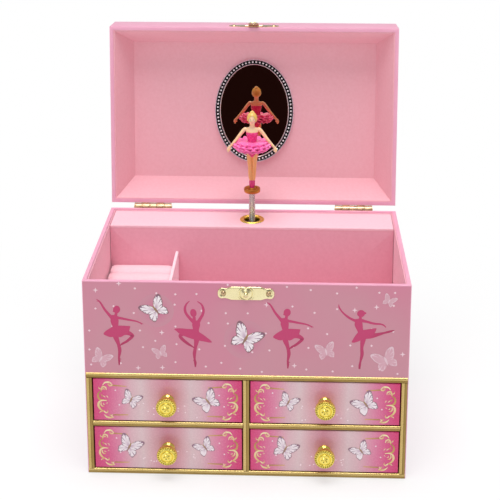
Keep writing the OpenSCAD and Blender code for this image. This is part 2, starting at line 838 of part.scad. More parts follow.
// Plate on the lid's front with two loops for the tongue's pin
module hasp_plate() {
  color("gold") open_lid() difference() {
    union() {
      translate([0, -half_d, hasp_plate_z]) rotate([90, 0, 0]) linear_extrude(0.7) difference() {
        clasp_outline();
        for (side = [-1, 1]) translate([side * clasp_brad_x, 0]) circle(r = 0.7);
      }
      for (side = [-1, 1]) {
        rod_x(side * loop_x, hasp_y, hasp_z, 3, 1.05);
        board([side * loop_x - 1.5, -half_d - 0.7, hasp_z - 0.8], [side * loop_x + 1.5, -half_d, hasp_plate_z]);
      }
    }
    rod_x(0, hasp_y, hasp_z, 2 * loop_x + 4, 0.5 + running);
    board([-tongue_w / 2 - passing, -half_d - 3, hasp_z - 3], [tongue_w / 2 + passing, -half_d + 1, hasp_z + 1.6]);
  }
}

// Tongue with a hole for the ball, a curled tip and its pin
module hasp_tongue() {
  hole_l = hasp_z - clasp_z;
  color("gold") open_lid() translate([0, hasp_y, hasp_z]) rotate([-tongue_raise, 0, 0]) {
    rod_x(0, 0, 0, 2 * loop_x + 3, 0.5);
    rod_x(0, 0, 0, tongue_w, 1);
    rotate([90, 0, 0]) translate([0, 0, -0.35]) linear_extrude(0.7) difference() {
      union() {
        translate([-tongue_w / 2, -tongue_l + tongue_w / 2]) square([tongue_w, tongue_l - tongue_w / 2]);
        translate([0, -tongue_l + tongue_w / 2]) circle(r = tongue_w / 2);
      }
      translate([0, -hole_l]) circle(r = clasp_h * 0.2 + 0.3);
    }
    rod_x(0, -0.5, -tongue_l + 0.8, 4.5, 0.7);
  }
}

// ---------- drawers ----------

// Each drawer is drawn at its own column, -1 or 1, and row, 0 or 1
module at_drawer(column, row) {
  translate([column * drawer_x, 0, drawer_z[row]]) children();
}

module drawer_front(column, row) {
  color("hotpink") at_drawer(column, row) difference() {
    board([-front_w / 2, front_y, front_gap], [front_w / 2, tray_y0, opening_h - front_gap]);
    rod_y(0, opening_h / 2, front_y - 1, tray_y0 + 1, knob_stud_d / 2);
  }
}

module drawer_tray(column, row) {
  color("mistyrose") at_drawer(column, row) difference() {
    board([-front_w / 2, tray_y0, passing], [front_w / 2, tray_y1, passing + tray_h]);
    board([-front_w / 2 + tray_t, tray_y0 + tray_t, passing + tray_t],
      [front_w / 2 - tray_t, tray_y1 - tray_t, passing + tray_h + 1]);
    rod_y(0, opening_h / 2, tray_y0 - 1, tray_y0 + tray_t + 1, knob_stud_d / 2);
  }
}

// Turned knob with a stud that is riveted over inside the tray
module drawer_knob(column, row) {
  r = knob_d / 2;
  neck = knob_neck_d / 2;
  stud = knob_stud_d / 2;
  inner = front_t + tray_t;
  color("gold") at_drawer(column, row) translate([0, front_y, opening_h / 2]) rotate([90, 0, 0])
    rotate_extrude() polygon([[0, -inner - 1], [stud + 1, -inner - 1], [stud + 1, -inner], [stud, -inner],
      [stud, 0], [neck + 1.6, 0], [neck + 1.2, 1.2], [neck, 2], [neck, knob_out * 0.42],
      [r - 1.2, knob_out * 0.56], [r, knob_out * 0.66], [r, knob_out * 0.78], [r - 1.4, knob_out * 0.93],
      [r * 0.66, knob_out * 0.95], [r * 0.6, knob_out * 0.9], [r * 0.52, knob_out * 0.9],
      [r * 0.46, knob_out], [0, knob_out]]);
}

module upper_left_front() drawer_front(-1, 1);
module upper_left_tray() drawer_tray(-1, 1);
module upper_left_knob() drawer_knob(-1, 1);
module upper_right_front() drawer_front(1, 1);
module upper_right_tray() drawer_tray(1, 1);
module upper_right_knob() drawer_knob(1, 1);
module lower_left_front() drawer_front(-1, 0);
module lower_left_tray() drawer_tray(-1, 0);
module lower_left_knob() drawer_knob(-1, 0);
module lower_right_front() drawer_front(1, 0);
module lower_right_tray() drawer_tray(1, 0);
module lower_right_knob() drawer_knob(1, 0);

left_side_panel();
right_side_panel();
back_panel();
upper_front_panel();
base_board();
compartment_floor();
drawer_shelf();
drawer_partition();
drawer_face_frame();
case_lining();
music_cover();
grommet();
ring_divider();
ring_tray();
ring_rolls();
clasp_plate();
hinge_lower_leaves();
hinge_pins();
case_brads();
movement_bedplate();
comb();
governor_bracket();
movement_screws();
winding_key();
spring_arbor();
spring_barrel();
mainspring();
pin_cylinder();
cylinder_gear();
governor_gear();
governor_fan();
figure_spindle();
figure_spring();
pedestal();
ballerina_figure();
tutu();
lid_panel();
lid_left_wall();
lid_right_wall();
lid_front_wall();
lid_back_wall();
lid_lining();
mirror();
mirror_frame();
hinge_upper_leaves();
lid_brads();
hasp_plate();
hasp_tongue();
upper_left_front();
upper_left_tray();
upper_left_knob();
upper_right_front();
upper_right_tray();
upper_right_knob();
lower_left_front();
lower_left_tray();
lower_left_knob();
lower_right_front();
lower_right_tray();
lower_right_knob();
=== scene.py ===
import json
import math

import bmesh
import bpy
import numpy as np
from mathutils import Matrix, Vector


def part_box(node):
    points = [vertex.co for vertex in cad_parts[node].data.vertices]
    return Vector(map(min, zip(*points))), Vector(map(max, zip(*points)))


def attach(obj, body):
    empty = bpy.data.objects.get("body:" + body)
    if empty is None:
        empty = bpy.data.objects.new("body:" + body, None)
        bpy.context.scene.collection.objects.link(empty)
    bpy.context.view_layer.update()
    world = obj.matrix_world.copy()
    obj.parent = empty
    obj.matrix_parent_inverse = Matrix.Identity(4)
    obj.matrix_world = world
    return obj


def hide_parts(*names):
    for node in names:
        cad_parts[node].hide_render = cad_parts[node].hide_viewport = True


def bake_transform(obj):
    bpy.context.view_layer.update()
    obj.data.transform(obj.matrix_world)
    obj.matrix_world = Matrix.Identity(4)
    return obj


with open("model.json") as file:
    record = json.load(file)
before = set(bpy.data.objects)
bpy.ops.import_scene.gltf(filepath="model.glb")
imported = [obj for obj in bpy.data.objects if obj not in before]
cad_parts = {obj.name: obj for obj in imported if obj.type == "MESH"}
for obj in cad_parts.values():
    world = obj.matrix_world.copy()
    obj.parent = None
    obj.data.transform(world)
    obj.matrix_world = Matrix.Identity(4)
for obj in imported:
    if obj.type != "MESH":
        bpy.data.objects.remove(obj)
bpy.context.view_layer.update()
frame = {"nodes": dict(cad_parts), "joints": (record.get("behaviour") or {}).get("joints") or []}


# ---------- Table, lamps and camera ----------
# The box stands on a white table that runs on without a horizon, under one wide soft lamp overhead and a
# weaker one in front. A black card, low in front and seen by polished surfaces only, gives the mirror and
# the gilt something dark to show.
mm = 0.001


def colour(code):
    """Linear RGBA of a #RRGGBB colour: c / 12.92 below 0.04045, else ((c + 0.055) / 1.055) ^ 2.4."""
    c = np.array([int(code[i:i + 2], 16) for i in (1, 3, 5)]) / 255
    linear = np.where(c <= 0.04045, c / 12.92, ((c + 0.055) / 1.055) ** 2.4)
    return (*[float(v) for v in linear], 1.0)


def add_node(mat, kind, **inputs):
    """Adds a shader node and sets its named inputs; an input given as a socket is linked, not set."""
    made = mat.node_tree.nodes.new(kind)
    for name, value in inputs.items():
        socket = made.inputs[name.replace("_", " ")]
        if isinstance(value, bpy.types.NodeSocket):
            mat.node_tree.links.new(value, socket)
        else:
            socket.default_value = value
    return made


def flat_piece(name, points, faces):
    """Mesh object from given corners and faces, with nothing merged."""
    mesh = bpy.data.meshes.new(name)
    mesh.from_pydata(np.asarray(points).tolist(), [], np.asarray(faces).tolist())
    obj = bpy.data.objects.new(name, mesh)
    bpy.context.scene.collection.objects.link(obj)
    return obj


def lamp(name, place, aim, size, power):
    """Square area lamp at place, turned so that its -Z looks at aim."""
    light = bpy.data.lights.new(name, "AREA")
    light.shape = "SQUARE"
    light.size = size
    light.energy = power
    obj = bpy.data.objects.new(name, light)
    obj.location = place
    look = np.array(aim) - np.array(place)
    tip = math.atan2(math.hypot(look[0], look[1]), -look[2])
    obj.rotation_euler = (tip, 0, math.atan2(look[0], -look[1]) + math.pi)
    bpy.context.scene.collection.objects.link(obj)


def table_finish():
    """White table near the box, turning by distance from it into an even white glow."""
    mat = bpy.data.materials.new("white table")
    mat.use_nodes = True
    mat.node_tree.nodes.clear()
    place = add_node(mat, "ShaderNodeTexCoord").outputs["Object"]
    away = add_node(mat, "ShaderNodeVectorMath", Vector=place)
    away.operation = "LENGTH"
    fade = add_node(mat, "ShaderNodeMapRange", Value=away.outputs["Value"], From_Min=0.12, From_Max=0.5,
                    To_Min=0.55)
    fade.interpolation_type = "SMOOTHSTEP"
    matt = add_node(mat, "ShaderNodeBsdfDiffuse", Color=(0.93, 0.93, 0.93, 1))
    glow = add_node(mat, "ShaderNodeEmission", Strength=1.0)
    both = add_node(mat, "ShaderNodeMixShader", Fac=fade.outputs["Result"])
    mat.node_tree.links.new(matt.outputs["BSDF"], both.inputs[1])
    mat.node_tree.links.new(glow.outputs["Emission"], both.inputs[2])
    out = add_node(mat, "ShaderNodeOutputMaterial", Surface=both.outputs["Shader"])
    out.is_active_output = True
    return mat


table = flat_piece("table", [(-9, -9, 0), (9, -9, 0), (9, 9, 0), (-9, 9, 0)], [(0, 1, 2, 3)])
table.data.materials.append(table_finish())

card = flat_piece("black_card", [(-0.45, -1.05, 0.02), (0.45, -1.05, 0.02), (0.45, -1.05, 0.42),
                                 (-0.45, -1.05, 0.42)], [(0, 1, 2, 3)])
card_finish = bpy.data.materials.new("black card")
card_finish.use_nodes = True
card_finish.node_tree.nodes["Principled BSDF"].inputs["Base Color"].default_value = (0.016, 0.0055, 0.005, 1)
card_finish.node_tree.nodes["Principled BSDF"].inputs["Roughness"].default_value = 1.0
card_finish.node_tree.nodes["Principled BSDF"].inputs["Specular IOR Level"].default_value = 0.0
card.data.materials.append(card_finish)
card.visible_camera = False
card.visible_diffuse = False
card.visible_shadow = False

studio = bpy.data.worlds.new("studio")
studio.use_nodes = True
sky = studio.node_tree.nodes["Background"]
seen = studio.node_tree.nodes.new("ShaderNodeLightPath")
level = studio.node_tree.nodes.new("ShaderNodeMapRange")
level.inputs["To Min"].default_value = 0.40
level.inputs["To Max"].default_value = 1.0
studio.node_tree.links.new(seen.outputs["Is Camera Ray"], level.inputs["Value"])
studio.node_tree.links.new(level.outputs["Result"], sky.inputs["Strength"])
sky.inputs["Color"].default_value = (1, 1, 1, 1)
bpy.context.scene.world = studio
bpy.context.scene.view_settings.view_transform = "Standard"

lamp("overhead_lamp", (0.0, -0.30, 2.2), (0.0, 0.0, 0.1), 1.5, 39)
lamp("front_lamp", (-0.5, -2.4, 1.5), (0.0, 0.0, 0.15), 1.6, 9)

lens = bpy.data.cameras.new("camera")
lens.lens = 89.15
lens.sensor_width = 36
lens.shift_y = -0.3793
camera = bpy.data.objects.new("camera", lens)
camera.location = (0.0355, -0.9848, 0.5746)
camera.rotation_euler = (math.radians(76.09), 0, math.radians(2.05))
bpy.context.scene.collection.objects.link(camera)
bpy.context.scene.camera = camera


# ---------- Case boards and their paper ----------
# The case is grey board covered in one satin pink paper, which turns over the rim and down inside. The paper
# is drawn as a thin skin with soft corners over the CAD boards; the front carries the printed sheet.
def shader(name, base, rough, metal=0.0, **settings):
    """Material with one Principled shader. Settings are set on the shader's own sockets."""
    mat = bpy.data.materials.new(name)
    mat.use_nodes = True
    principled = mat.node_tree.nodes["Principled BSDF"]
    principled.inputs["Base Color"].default_value = colour(base)
    principled.inputs["Roughness"].default_value = rough
    principled.inputs["Metallic"].default_value = metal
    for key, value in settings.items():
        principled.inputs[key.replace("_", " ")].default_value = value
    return mat


def mottle(mat, tones, scale, stretch=(1, 1, 1), detail=5.0, spread=0.28):
    """Base colour that wanders through the tones with a noise of scale cycles to the metre."""
    place = add_node(mat, "ShaderNodeTexCoord").outputs["Object"]
    drawn = add_node(mat, "ShaderNodeMapping", Vector=place, Scale=stretch)
    noise = add_node(mat, "ShaderNodeTexNoise", Vector=drawn.outputs["Vector"], Scale=scale, Detail=detail)
    ramp = add_node(mat, "ShaderNodeValToRGB", Fac=noise.outputs["Fac"])
    for i, tone in enumerate(tones):
        at = 0.5 + spread * (2 * i / (len(tones) - 1) - 1)
        stop = ramp.color_ramp.elements[i] if i < 2 else ramp.color_ramp.elements.new(at)
        stop.position = at
        stop.color = colour(tone)
    mat.node_tree.links.new(ramp.outputs["Color"],
                            mat.node_tree.nodes["Principled BSDF"].inputs["Base Color"])
    return mat


def grain(mat, scale, height, stretch=(1, 1, 1), detail=3.0, polish=None):
    """Fine relief from a noise, height in metres; polish gives the roughness at its lows and highs."""
    principled = mat.node_tree.nodes["Principled BSDF"]
    place = add_node(mat, "ShaderNodeTexCoord").outputs["Object"]
    drawn = add_node(mat, "ShaderNodeMapping", Vector=place, Scale=stretch)
    noise = add_node(mat, "ShaderNodeTexNoise", Vector=drawn.outputs["Vector"], Scale=scale, Detail=detail)
    relief = add_node(mat, "ShaderNodeBump", Height=noise.outputs["Fac"], Distance=height, Strength=1.0)
    mat.node_tree.links.new(relief.outputs["Normal"], principled.inputs["Normal"])
    if polish:
        worn = add_node(mat, "ShaderNodeMapRange", Value=noise.outputs["Fac"], From_Min=0.3, From_Max=0.7,
                        To_Min=polish[0], To_Max=polish[1])
        mat.node_tree.links.new(worn.outputs["Result"], principled.inputs["Roughness"])
    return mat


def grid_faces(rows, cols, close_rows=False, close_cols=False):
    """Quads of a grid stored row by row: corner (i, j) is i * cols + j; a closed way joins last to first."""
    i, j = np.meshgrid(np.arange(rows if close_rows else rows - 1),
                       np.arange(cols if close_cols else cols - 1), indexing="ij")
    i2, j2 = (i + 1) % rows, (j + 1) % cols
    return np.stack([i * cols + j, i * cols + j2, i2 * cols + j2, i2 * cols + j], -1).reshape(-1, 4)


def surface(points, close_rows=False, close_cols=False):
    """A shell (points, faces, material slot 0) from a grid of points, shape (rows, cols, 3)."""
    rows, cols = points.shape[:2]
    return points.reshape(-1, 3), grid_faces(rows, cols, close_rows, close_cols), 0


def second_finish(shell):
    """The same shell with the piece's second material."""
    return (*shell[:2], 1)


def piece(name, shells, finishes, body, merge=0.01 * mm, smooth=35, outward=True, tones=None):
    """One object from shells (points, faces, slot): doubles merged, faces outwards, sharp past an angle."""
    points = np.concatenate([s[0] for s in shells])
    starts = np.cumsum([0] + [len(s[0]) for s in shells])
    faces, slots = [], []
    for (_, quads, slot), start in zip(shells, starts):
        faces += (np.asarray(quads) + start).tolist()
        slots += [slot] * len(quads)
    mesh = bpy.data.meshes.new(name)
    mesh.from_pydata(points.tolist(), [], faces)
    mesh.polygons.foreach_set("material_index", slots)
    if tones is not None:
        layer = mesh.color_attributes.new("tone", "FLOAT_COLOR", "POINT")
        layer.data.foreach_set("color", np.asarray(tones, np.float32).ravel())
    if merge or outward:
        shape = bmesh.new()
        shape.from_mesh(mesh)
        if merge:
            bmesh.ops.remove_doubles(shape, verts=shape.verts, dist=merge)
        if outward:
            bmesh.ops.recalc_face_normals(shape, faces=shape.faces)
        shape.to_mesh(mesh)
        shape.free()
    mesh.polygons.foreach_set("use_smooth", [True] * len(mesh.polygons))
    mesh.set_sharp_from_angle(angle=math.radians(smooth))
    for mat in finishes:
        mesh.materials.append(mat)
    obj = bpy.data.objects.new(name, mesh)
    bpy.context.scene.collection.objects.link(obj)
    if body:
        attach(obj, body)
    return obj


def dress(finish, *names):
    """Gives CAD nodes a finish."""
    for name in names:
        slots = frame["nodes"][name].data.materials
        slots.clear()
        slots.append(finish)


def soften(width, *names):
    """Rounds a CAD node's edges: its triangles are welded, and edges over 40 degrees bevelled by width."""
    for name in names:
        obj = frame["nodes"][name]
        weld = obj.modifiers.new("weld", "WELD")
        weld.merge_threshold = 0.002 * mm
        bevel = obj.modifiers.new("bevel", "BEVEL")
        bevel.width = width
        bevel.segments = 3
        bevel.limit_method = "ANGLE"
        bevel.angle_limit = math.radians(40)


def plan_loop(half_x, half_y, r, steps=6):
    """Rounded rectangle from its front left corner round by the back: corner centre + r (cos a, sin a)."""
    turn = np.radians(np.linspace(0, 90, steps))
    a = np.concatenate([math.radians(270 - 90 * k) - turn for k in range(4)])
    centre_x = np.repeat([-1, -1, 1, 1], steps) * (half_x - r)
    centre_y = np.repeat([-1, 1, 1, -1], steps) * (half_y - r)
    return np.stack([centre_x + r * np.cos(a), centre_y + r * np.sin(a)], -1)


def walls(profile, half_x, half_y, r):
    """A profile of (inset, height) carried round a rounded rectangle: each row an inset, lifted loop."""
    rows = []
    for inset, z in profile:
        loop = plan_loop(half_x - inset, half_y - inset, max(r - inset, 0.02 * mm))
        rows.append(np.column_stack([loop, np.full(len(loop), z)]))
    return np.stack(rows)


def quarter(centre, r, start, steps=5):
    """Quarter circle of (inset, height) points, turning clockwise from the start angle in degrees."""
    a = np.radians(np.linspace(start, start - 90, steps))
    return [(centre[0] + r * math.cos(t), centre[1] + r * math.sin(t)) for t in a]


case_low, case_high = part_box("left_side_panel")[0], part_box("right_side_panel")[1]
half_w, half_d, rim_z = case_high[0], case_high[1], case_high[2]
board_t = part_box("left_side_panel")[1][0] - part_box("left_side_panel")[0][0]
frame_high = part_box("drawer_face_frame")[1]
proud = 0.1 * mm
corner_r = half_w - frame_high[0]
edge_r = 0.7 * mm

paper = mottle(shader("pink paper", "#EDA9C0", 0.42, Coat_Weight=0.3, Coat_Roughness=0.28),
               ["#EBA4BF", "#EFADC6"], 60, spread=0.2)
grain(paper, 900, 0.015 * mm, polish=(0.36, 0.5))
printed = mottle(shader("printed paper", "#DC92A4", 0.36, Coat_Weight=0.25, Coat_Roughness=0.2),
                 ["#D37C97", "#CC8B9B", "#C98E9C"], 9, stretch=(1, 1, 0.8), detail=2.0, spread=0.22)
grain(printed, 900, 0.012 * mm, polish=(0.3, 0.42))
bare_board = grain(mottle(shader("grey board", "#B79C7C", 0.9), ["#A98D6C", "#C2A988"], 240,
                          stretch=(1, 1, 4)), 1400, 0.04 * mm)

outer = half_w + proud, half_d + proud
over_rim = ([(0, frame_high[2]), (0, rim_z + proud - edge_r)]
            + quarter((edge_r, rim_z + proud - edge_r), edge_r, 180)[1:]
            + quarter((board_t + proud - edge_r, rim_z + proud - edge_r), edge_r, 90)
            + [(board_t + proud, rim_z - 2 * mm)])
band = walls(over_rim, *outer, corner_r)
lower_sheet = walls([(0, case_low[2] + 0.05 * mm), (0, frame_high[2])], *outer, corner_r)
front_sheet = band[:2][:, [-1, 0]]
band_faces = grid_faces(*band.shape[:2], close_cols=True)
not_front = [k for k in range(len(band_faces)) if k != band.shape[1] - 1]
case_paper = piece("case_paper", [(band.reshape(-1, 3), band_faces[not_front], 0), surface(lower_sheet),
                                  (front_sheet.reshape(-1, 3), [(0, 1, 3, 2)], 1)], [paper, printed], "case",
                   outward=False)
dress(paper, "left_side_panel", "right_side_panel", "back_panel", "upper_front_panel")
dress(bare_board, "base_board", "compartment_floor", "drawer_shelf", "drawer_partition")


# ---------- Print on the front ----------
# The front sheet shows four dancers, butterflies and small stars, all in flat printed inks. Each motif is its
# own layer of ink a few hundredths of a millimetre thick, lying on the paper.
def smooth_line(points, count, closed=False):
    """Catmull-Rom curve: between b and c it is (2b + (c-a)t + (2a-5b+4c-d)t^2 + (3b-3c+d-a)t^3) / 2."""
    p = np.asarray(points, float)
    p = np.vstack([p[-1], p, p[:2]]) if closed else np.vstack([2 * p[0] - p[1], p, 2 * p[-1] - p[-2]])
    spans = len(p) - 3
    t = np.linspace(0, spans, count, endpoint=not closed)
    k = np.minimum(t.astype(int), spans - 1)
    f = (t - k)[:, None]
    a, b, c, d = p[k], p[k + 1], p[k + 2], p[k + 3]
    return 0.5 * (2 * b + (c - a) * f + (2 * a - 5 * b + 4 * c - d) * f ** 2 + (3 * b - 3 * c + d - a)
                  * f ** 3)


def blob(points, tone, level, count=40):
    """A filled outline that each ray from its middle crosses once: a fan from there to a closed curve."""
    rim = smooth_line(points, count, closed=True)
    corners = np.vstack([rim.mean(0), rim])
    j = np.arange(count)
    faces = np.stack([np.zeros(count, int), 1 + j, 1 + (j + 1) % count], -1)
    return corners, faces, np.tile(colour(tone), (count + 1, 1)), level


def stroke(points, widths, tone, level, end_tone=None, count=24):
    """A line whose width follows the given widths: curve point +- half the width along its normal."""
    line = smooth_line(points, count)
    along = np.gradient(line, axis=0)
    along /= np.linalg.norm(along, axis=1)[:, None]
    across = np.column_stack([-along[:, 1], along[:, 0]])
    w = np.interp(np.linspace(0, 1, count), np.linspace(0, 1, len(widths)), widths)[:, None] / 2
    corners = np.stack([line - across * w, line + across * w], 1).reshape(-1, 2)
    mix = np.repeat(np.linspace(0, 1, count), 2)[:, None]
    tones = np.array(colour(tone)) * (1 - mix) + np.array(colour(end_tone or tone)) * mix
    return corners, grid_faces(count, 2), tones, level


def star(x, z, r, tone, level, thin=0.3):
    """Four-pointed sparkle: eight corners, alternately at r and at thin * r."""
    a = np.arange(8) * math.pi / 4
    reach = np.where(np.arange(8) % 2, thin, 1.0) * r
    corners = np.vstack([(x, z), np.column_stack([x + reach * np.sin(a), z + reach * np.cos(a)])])
    j = np.arange(8)
    faces = np.stack([np.zeros(8, int), 1 + j, 1 + (j + 1) % 8], -1)
    return corners, faces, np.tile(colour(tone), (9, 1)), level


def placed(shapes, x, z, size=1.0, turn=0.0, mirror=False):
    """Shapes scaled, mirrored, turned by degrees and moved."""
    c, s = math.cos(math.radians(turn)), math.sin(math.radians(turn))
    moved = []
    for corners, faces, tones, level in shapes:
        p = corners * size * (-1 if mirror else 1, 1)
        p = np.column_stack([p[:, 0] * c - p[:, 1] * s + x, p[:, 0] * s + p[:, 1] * c + z])
        moved.append((p, faces, tones, level))
    return moved


def print_sheet(name, shapes, front_y, finish, body, centre=(0, 0)):
    """Shapes in millimetres laid on a face that looks to -Y, each level 0.02 mm further out."""
    shells, tones = [], []
    for n, (corners, faces, ink, level) in enumerate(shapes):
        x = centre[0] + corners[:, 0] * mm
        z = centre[1] + corners[:, 1] * mm
        y = np.full(len(x), front_y - (0.02 + 0.02 * level + 0.0002 * (n % 40)) * mm)
        points = np.column_stack([x, y, z])
        a, b, c = points[faces[:, 0]], points[faces[:, 1]], points[faces[:, 2]]
        looks_back = np.cross(b - a, c - a)[:, 1] > 0
        faces = np.where(looks_back[:, None], faces[:, ::-1], faces)
        shells.append((points, faces, 0))
        tones.append(ink)
    return piece(name, shells, [finish], body, merge=0, outward=False, tones=np.concatenate(tones))


def ink_finish(name, rough, **settings):
    """Printed ink: its colour is the mesh's own tone layer, with the faint speckle of the paper under it."""
    mat = shader(name, "#FFFFFF", rough, **settings)
    tone = add_node(mat, "ShaderNodeVertexColor")
    tone.layer_name = "tone"
    mat.node_tree.links.new(tone.outputs["Color"],
                            mat.node_tree.nodes["Principled BSDF"].inputs["Base Color"])
    return grain(mat, 900, 0.012 * mm, polish=(rough - 0.05, rough + 0.07))


dancer_rose = "#C4306A"
dancer_deep = "#AC1A54"


def ellipse(x, z, rx, rz, turn=0.0):
    """Twelve points of an ellipse turned by degrees."""
    a = np.arange(12) * math.pi / 6
    t = math.radians(turn)
    px, pz = rx * np.cos(a), rz * np.sin(a)
    return np.column_stack([x + px * math.cos(t) - pz * math.sin(t), z + px * math.sin(t) + pz * math.cos(t)])


def standing_dancer():
    """Dancer on one toe, the other foot drawn to the knee, one arm raised and one held out to the side."""
    r, d = dancer_rose, dancer_deep
    return [
        stroke([(0.3, -0.2), (0.5, 3.4), (0.3, 6.6), (1.1, 12.5), (0.2, 18.4), (-1.6, 24.0), (-2.0, 29)],
               [0.9, 1.9, 1.5, 2.9, 2.7, 4.4, 5.4], d, 2, r),
        stroke([(0.4, 5.6), (2.3, 5.0)], [0.9, 0.3], d, 2, count=6),
        stroke([(1.5, 27.6), (6.5, 28.6), (11.4, 26.4), (11.0, 24.6), (7.0, 20.8), (3.4, 18.6), (1.3, 16.6)],
               [5.2, 4.6, 2.6, 2.6, 2.1, 1.8, 0.7], r, 2, d),
        blob([(-11.6, 27.0), (-9.4, 29.8), (-4.6, 33.0), (-1.5, 34.2), (2.0, 34.4), (9.4, 34.1), (9.9, 33.2),
              (8.6, 29.0), (5.4, 26.4), (1.8, 24.2), (-1.0, 25.2), (-5.6, 24.2), (-9.0, 25.2)], r, 3),
        stroke([(-1.6, 31.8), (-1.9, 34.2), (-2.4, 38.4), (-2.6, 42.2)], [5.4, 4.9, 6.6, 5.4], r, 3),
        stroke([(-5.6, 42.0), (-2.6, 41.9), (0.4, 41.3)], [2.6, 3.4, 2.4], r, 3, count=10),
        stroke([(-1.7, 42.0), (-0.8, 45.4)], [2.6, 2.1], r, 3, count=6),
        blob(ellipse(-0.5, 48.3, 2.8, 3.3, -8), r, 3),
        blob(ellipse(-2.4, 46.9, 1.2, 0.9, 20), r, 3, count=16),
        stroke([(-3.6, 39.8), (-6.6, 43.6), (-10.2, 48.4), (-13.6, 54.4), (-16.3, 56.9)],
               [2.9, 2.4, 1.8, 1.3, 0.4], r, 3),
        stroke([(-14.0, 54.8), (-16.6, 55.4)], [0.7, 0.2], r, 3, count=5),
        stroke([(-0.4, 41.2), (3.6, 40.6), (7.4, 39.8), (14.4, 38.5), (18.2, 37.0), (20.6, 36.0)],
               [2.6, 2.0, 1.8, 1.2, 1.0, 0.2], r, 3),
        stroke([(17.6, 37.4), (19.6, 35.4)], [0.8, 0.2], r, 3, count=5),
    ]


def crowned_dancer():
    """Dancer on one toe with both arms in a ring over her head and a tilted skirt."""
    r, d = dancer_rose, dancer_deep
    return [
        stroke([(0.1, -0.2), (0.1, 3.6), (-0.4, 6.9), (-0.5, 12.0), (0.4, 17.4), (1.4, 23.8), (1.2, 28)],
               [0.9, 2.2, 1.6, 2.8, 2.4, 4.4, 5.0], d, 2, r),
        stroke([(-0.6, 6.2), (-1.6, 5.2)], [0.9, 0.3], d, 2, count=6),
        stroke([(-6.0, 29.0), (-9.6, 28.6), (-11.8, 26.8), (-9.8, 23.8), (-5.4, 20.0), (-0.4, 16.6)],
               [3.8, 3.4, 2.6, 2.6, 2.2, 0.7], r, 2, d),
        blob([(-16.4, 32.8), (-12.0, 33.5), (-5.0, 33.0), (0.9, 32.8), (3.4, 30.6), (7.6, 27.6), (13.4, 22.4),
              (11.6, 21.5), (7.0, 22.4), (3.6, 23.0), (-1.8, 24.3), (-7.0, 26.2), (-12.2, 28.8),
              (-14.4, 30.8)], r, 3),
        stroke([(1.0, 30.5), (0.9, 32.6), (1.1, 36.6), (1.2, 40.4)], [4.8, 4.6, 6.4, 5.6], r, 3),
        stroke([(-0.4, 40.0), (-0.4, 43.6)], [2.8, 2.3], r, 3, count=6),
        blob(ellipse(-1.0, 46.9, 2.5, 3.5, 8), r, 3),
        stroke([(-0.6, 38.8), (-3.8, 42.2), (-6.8, 46.4), (-7.7, 50.2), (-6.6, 54.2), (-3.9, 57.2)],
               [3.0, 2.4, 2.1, 2.0, 1.4, 0.5], r, 3),
        stroke([(2.6, 38.8), (4.6, 42.4), (6.4, 45.8), (7.0, 49.8), (5.6, 54.2), (2.2, 57.0)],
               [3.0, 2.4, 2.1, 2.0, 1.4, 0.5], r, 3),
    ]


def reaching_dancer():
    """Dancer on one toe with the other leg stretched out behind and both arms open."""
    r, d = dancer_rose, dancer_deep
    return [
        stroke([(0.0, -0.2), (0.2, 3.2), (0.7, 6.4), (1.8, 12.6), (1.5, 18.6), (2.3, 25.4), (2.0, 29)],
               [1.4, 1.9, 1.5, 2.8, 2.4, 4.4, 5.0], d, 2, r),
        stroke([(3.6, 28.4), (8.4, 28.6), (12.4, 29.6), (18.6, 31.4), (22.6, 32.6), (26.8, 33.8)],
               [5.0, 4.0, 3.4, 1.6, 1.9, 0.9], r, 2, d),
        blob([(-6.6, 23.2), (-5.4, 26.0), (-2.2, 31.2), (0.6, 33.4), (4.0, 34.0), (11.8, 35.4), (12.6, 34.6),
              (10.8, 30.4), (6.4, 27.4), (2.0, 25.6), (-1.4, 23.8), (-4.8, 22.7)], r, 3),
        stroke([(0.8, 31.4), (0.0, 33.4), (-1.4, 38.2), (-1.4, 42.0)], [4.8, 4.6, 6.4, 5.4], r, 3),
        stroke([(-4.6, 41.6), (-1.0, 42.0), (2.6, 41.7)], [2.4, 3.0, 2.4], r, 3, count=10),
        stroke([(-0.6, 41.6), (0.0, 44.8)], [2.6, 2.1], r, 3, count=6),
        blob(ellipse(0.3, 47.8, 3.1, 3.0, 20), r, 3),
        blob(ellipse(3.4, 48.2, 1.1, 0.9, 0), r, 3, count=16),
        stroke([(-2.6, 41.2), (-6.4, 42.6), (-10.2, 44.9), (-14.4, 48.8), (-16.9, 52.6), (-17.4, 55.4)],
               [2.8, 2.0, 1.8, 1.3, 1.2, 0.4], r, 3),
        stroke([(1.6, 41.6), (5.6, 40.8), (10.6, 39.4), (16.6, 38.9), (19.2, 37.4), (20.2, 36.0)],
               [2.6, 2.0, 1.8, 1.3, 1.1, 0.3], r, 3),
    ]


def wing(root, outline, tones, level):
    """One wing: rings of its outline shrunk towards the root, shaded near the root and with a dark edge:
    corner = root + (rim - root) s."""
    rim = smooth_line(outline, 34)
    s = np.array([0, 0.18, 0.36, 0.55, 0.72, 0.84, 0.91, 0.92, 1.0])[:, None]
    corners = np.array(root) + (rim - np.array(root))[None] * s[..., None]
    shade, ground, edge = (np.array(colour(t)) for t in tones)
    near = (0.85 * np.exp(-(s / 0.36) ** 2) + 0 * np.arange(34)[None])[..., None]
    tone = ground * (1 - near) + shade * near
    tone[-2:] = edge
    return corners.reshape(-1, 2), grid_faces(9, 34), tone.reshape(-1, 4), level


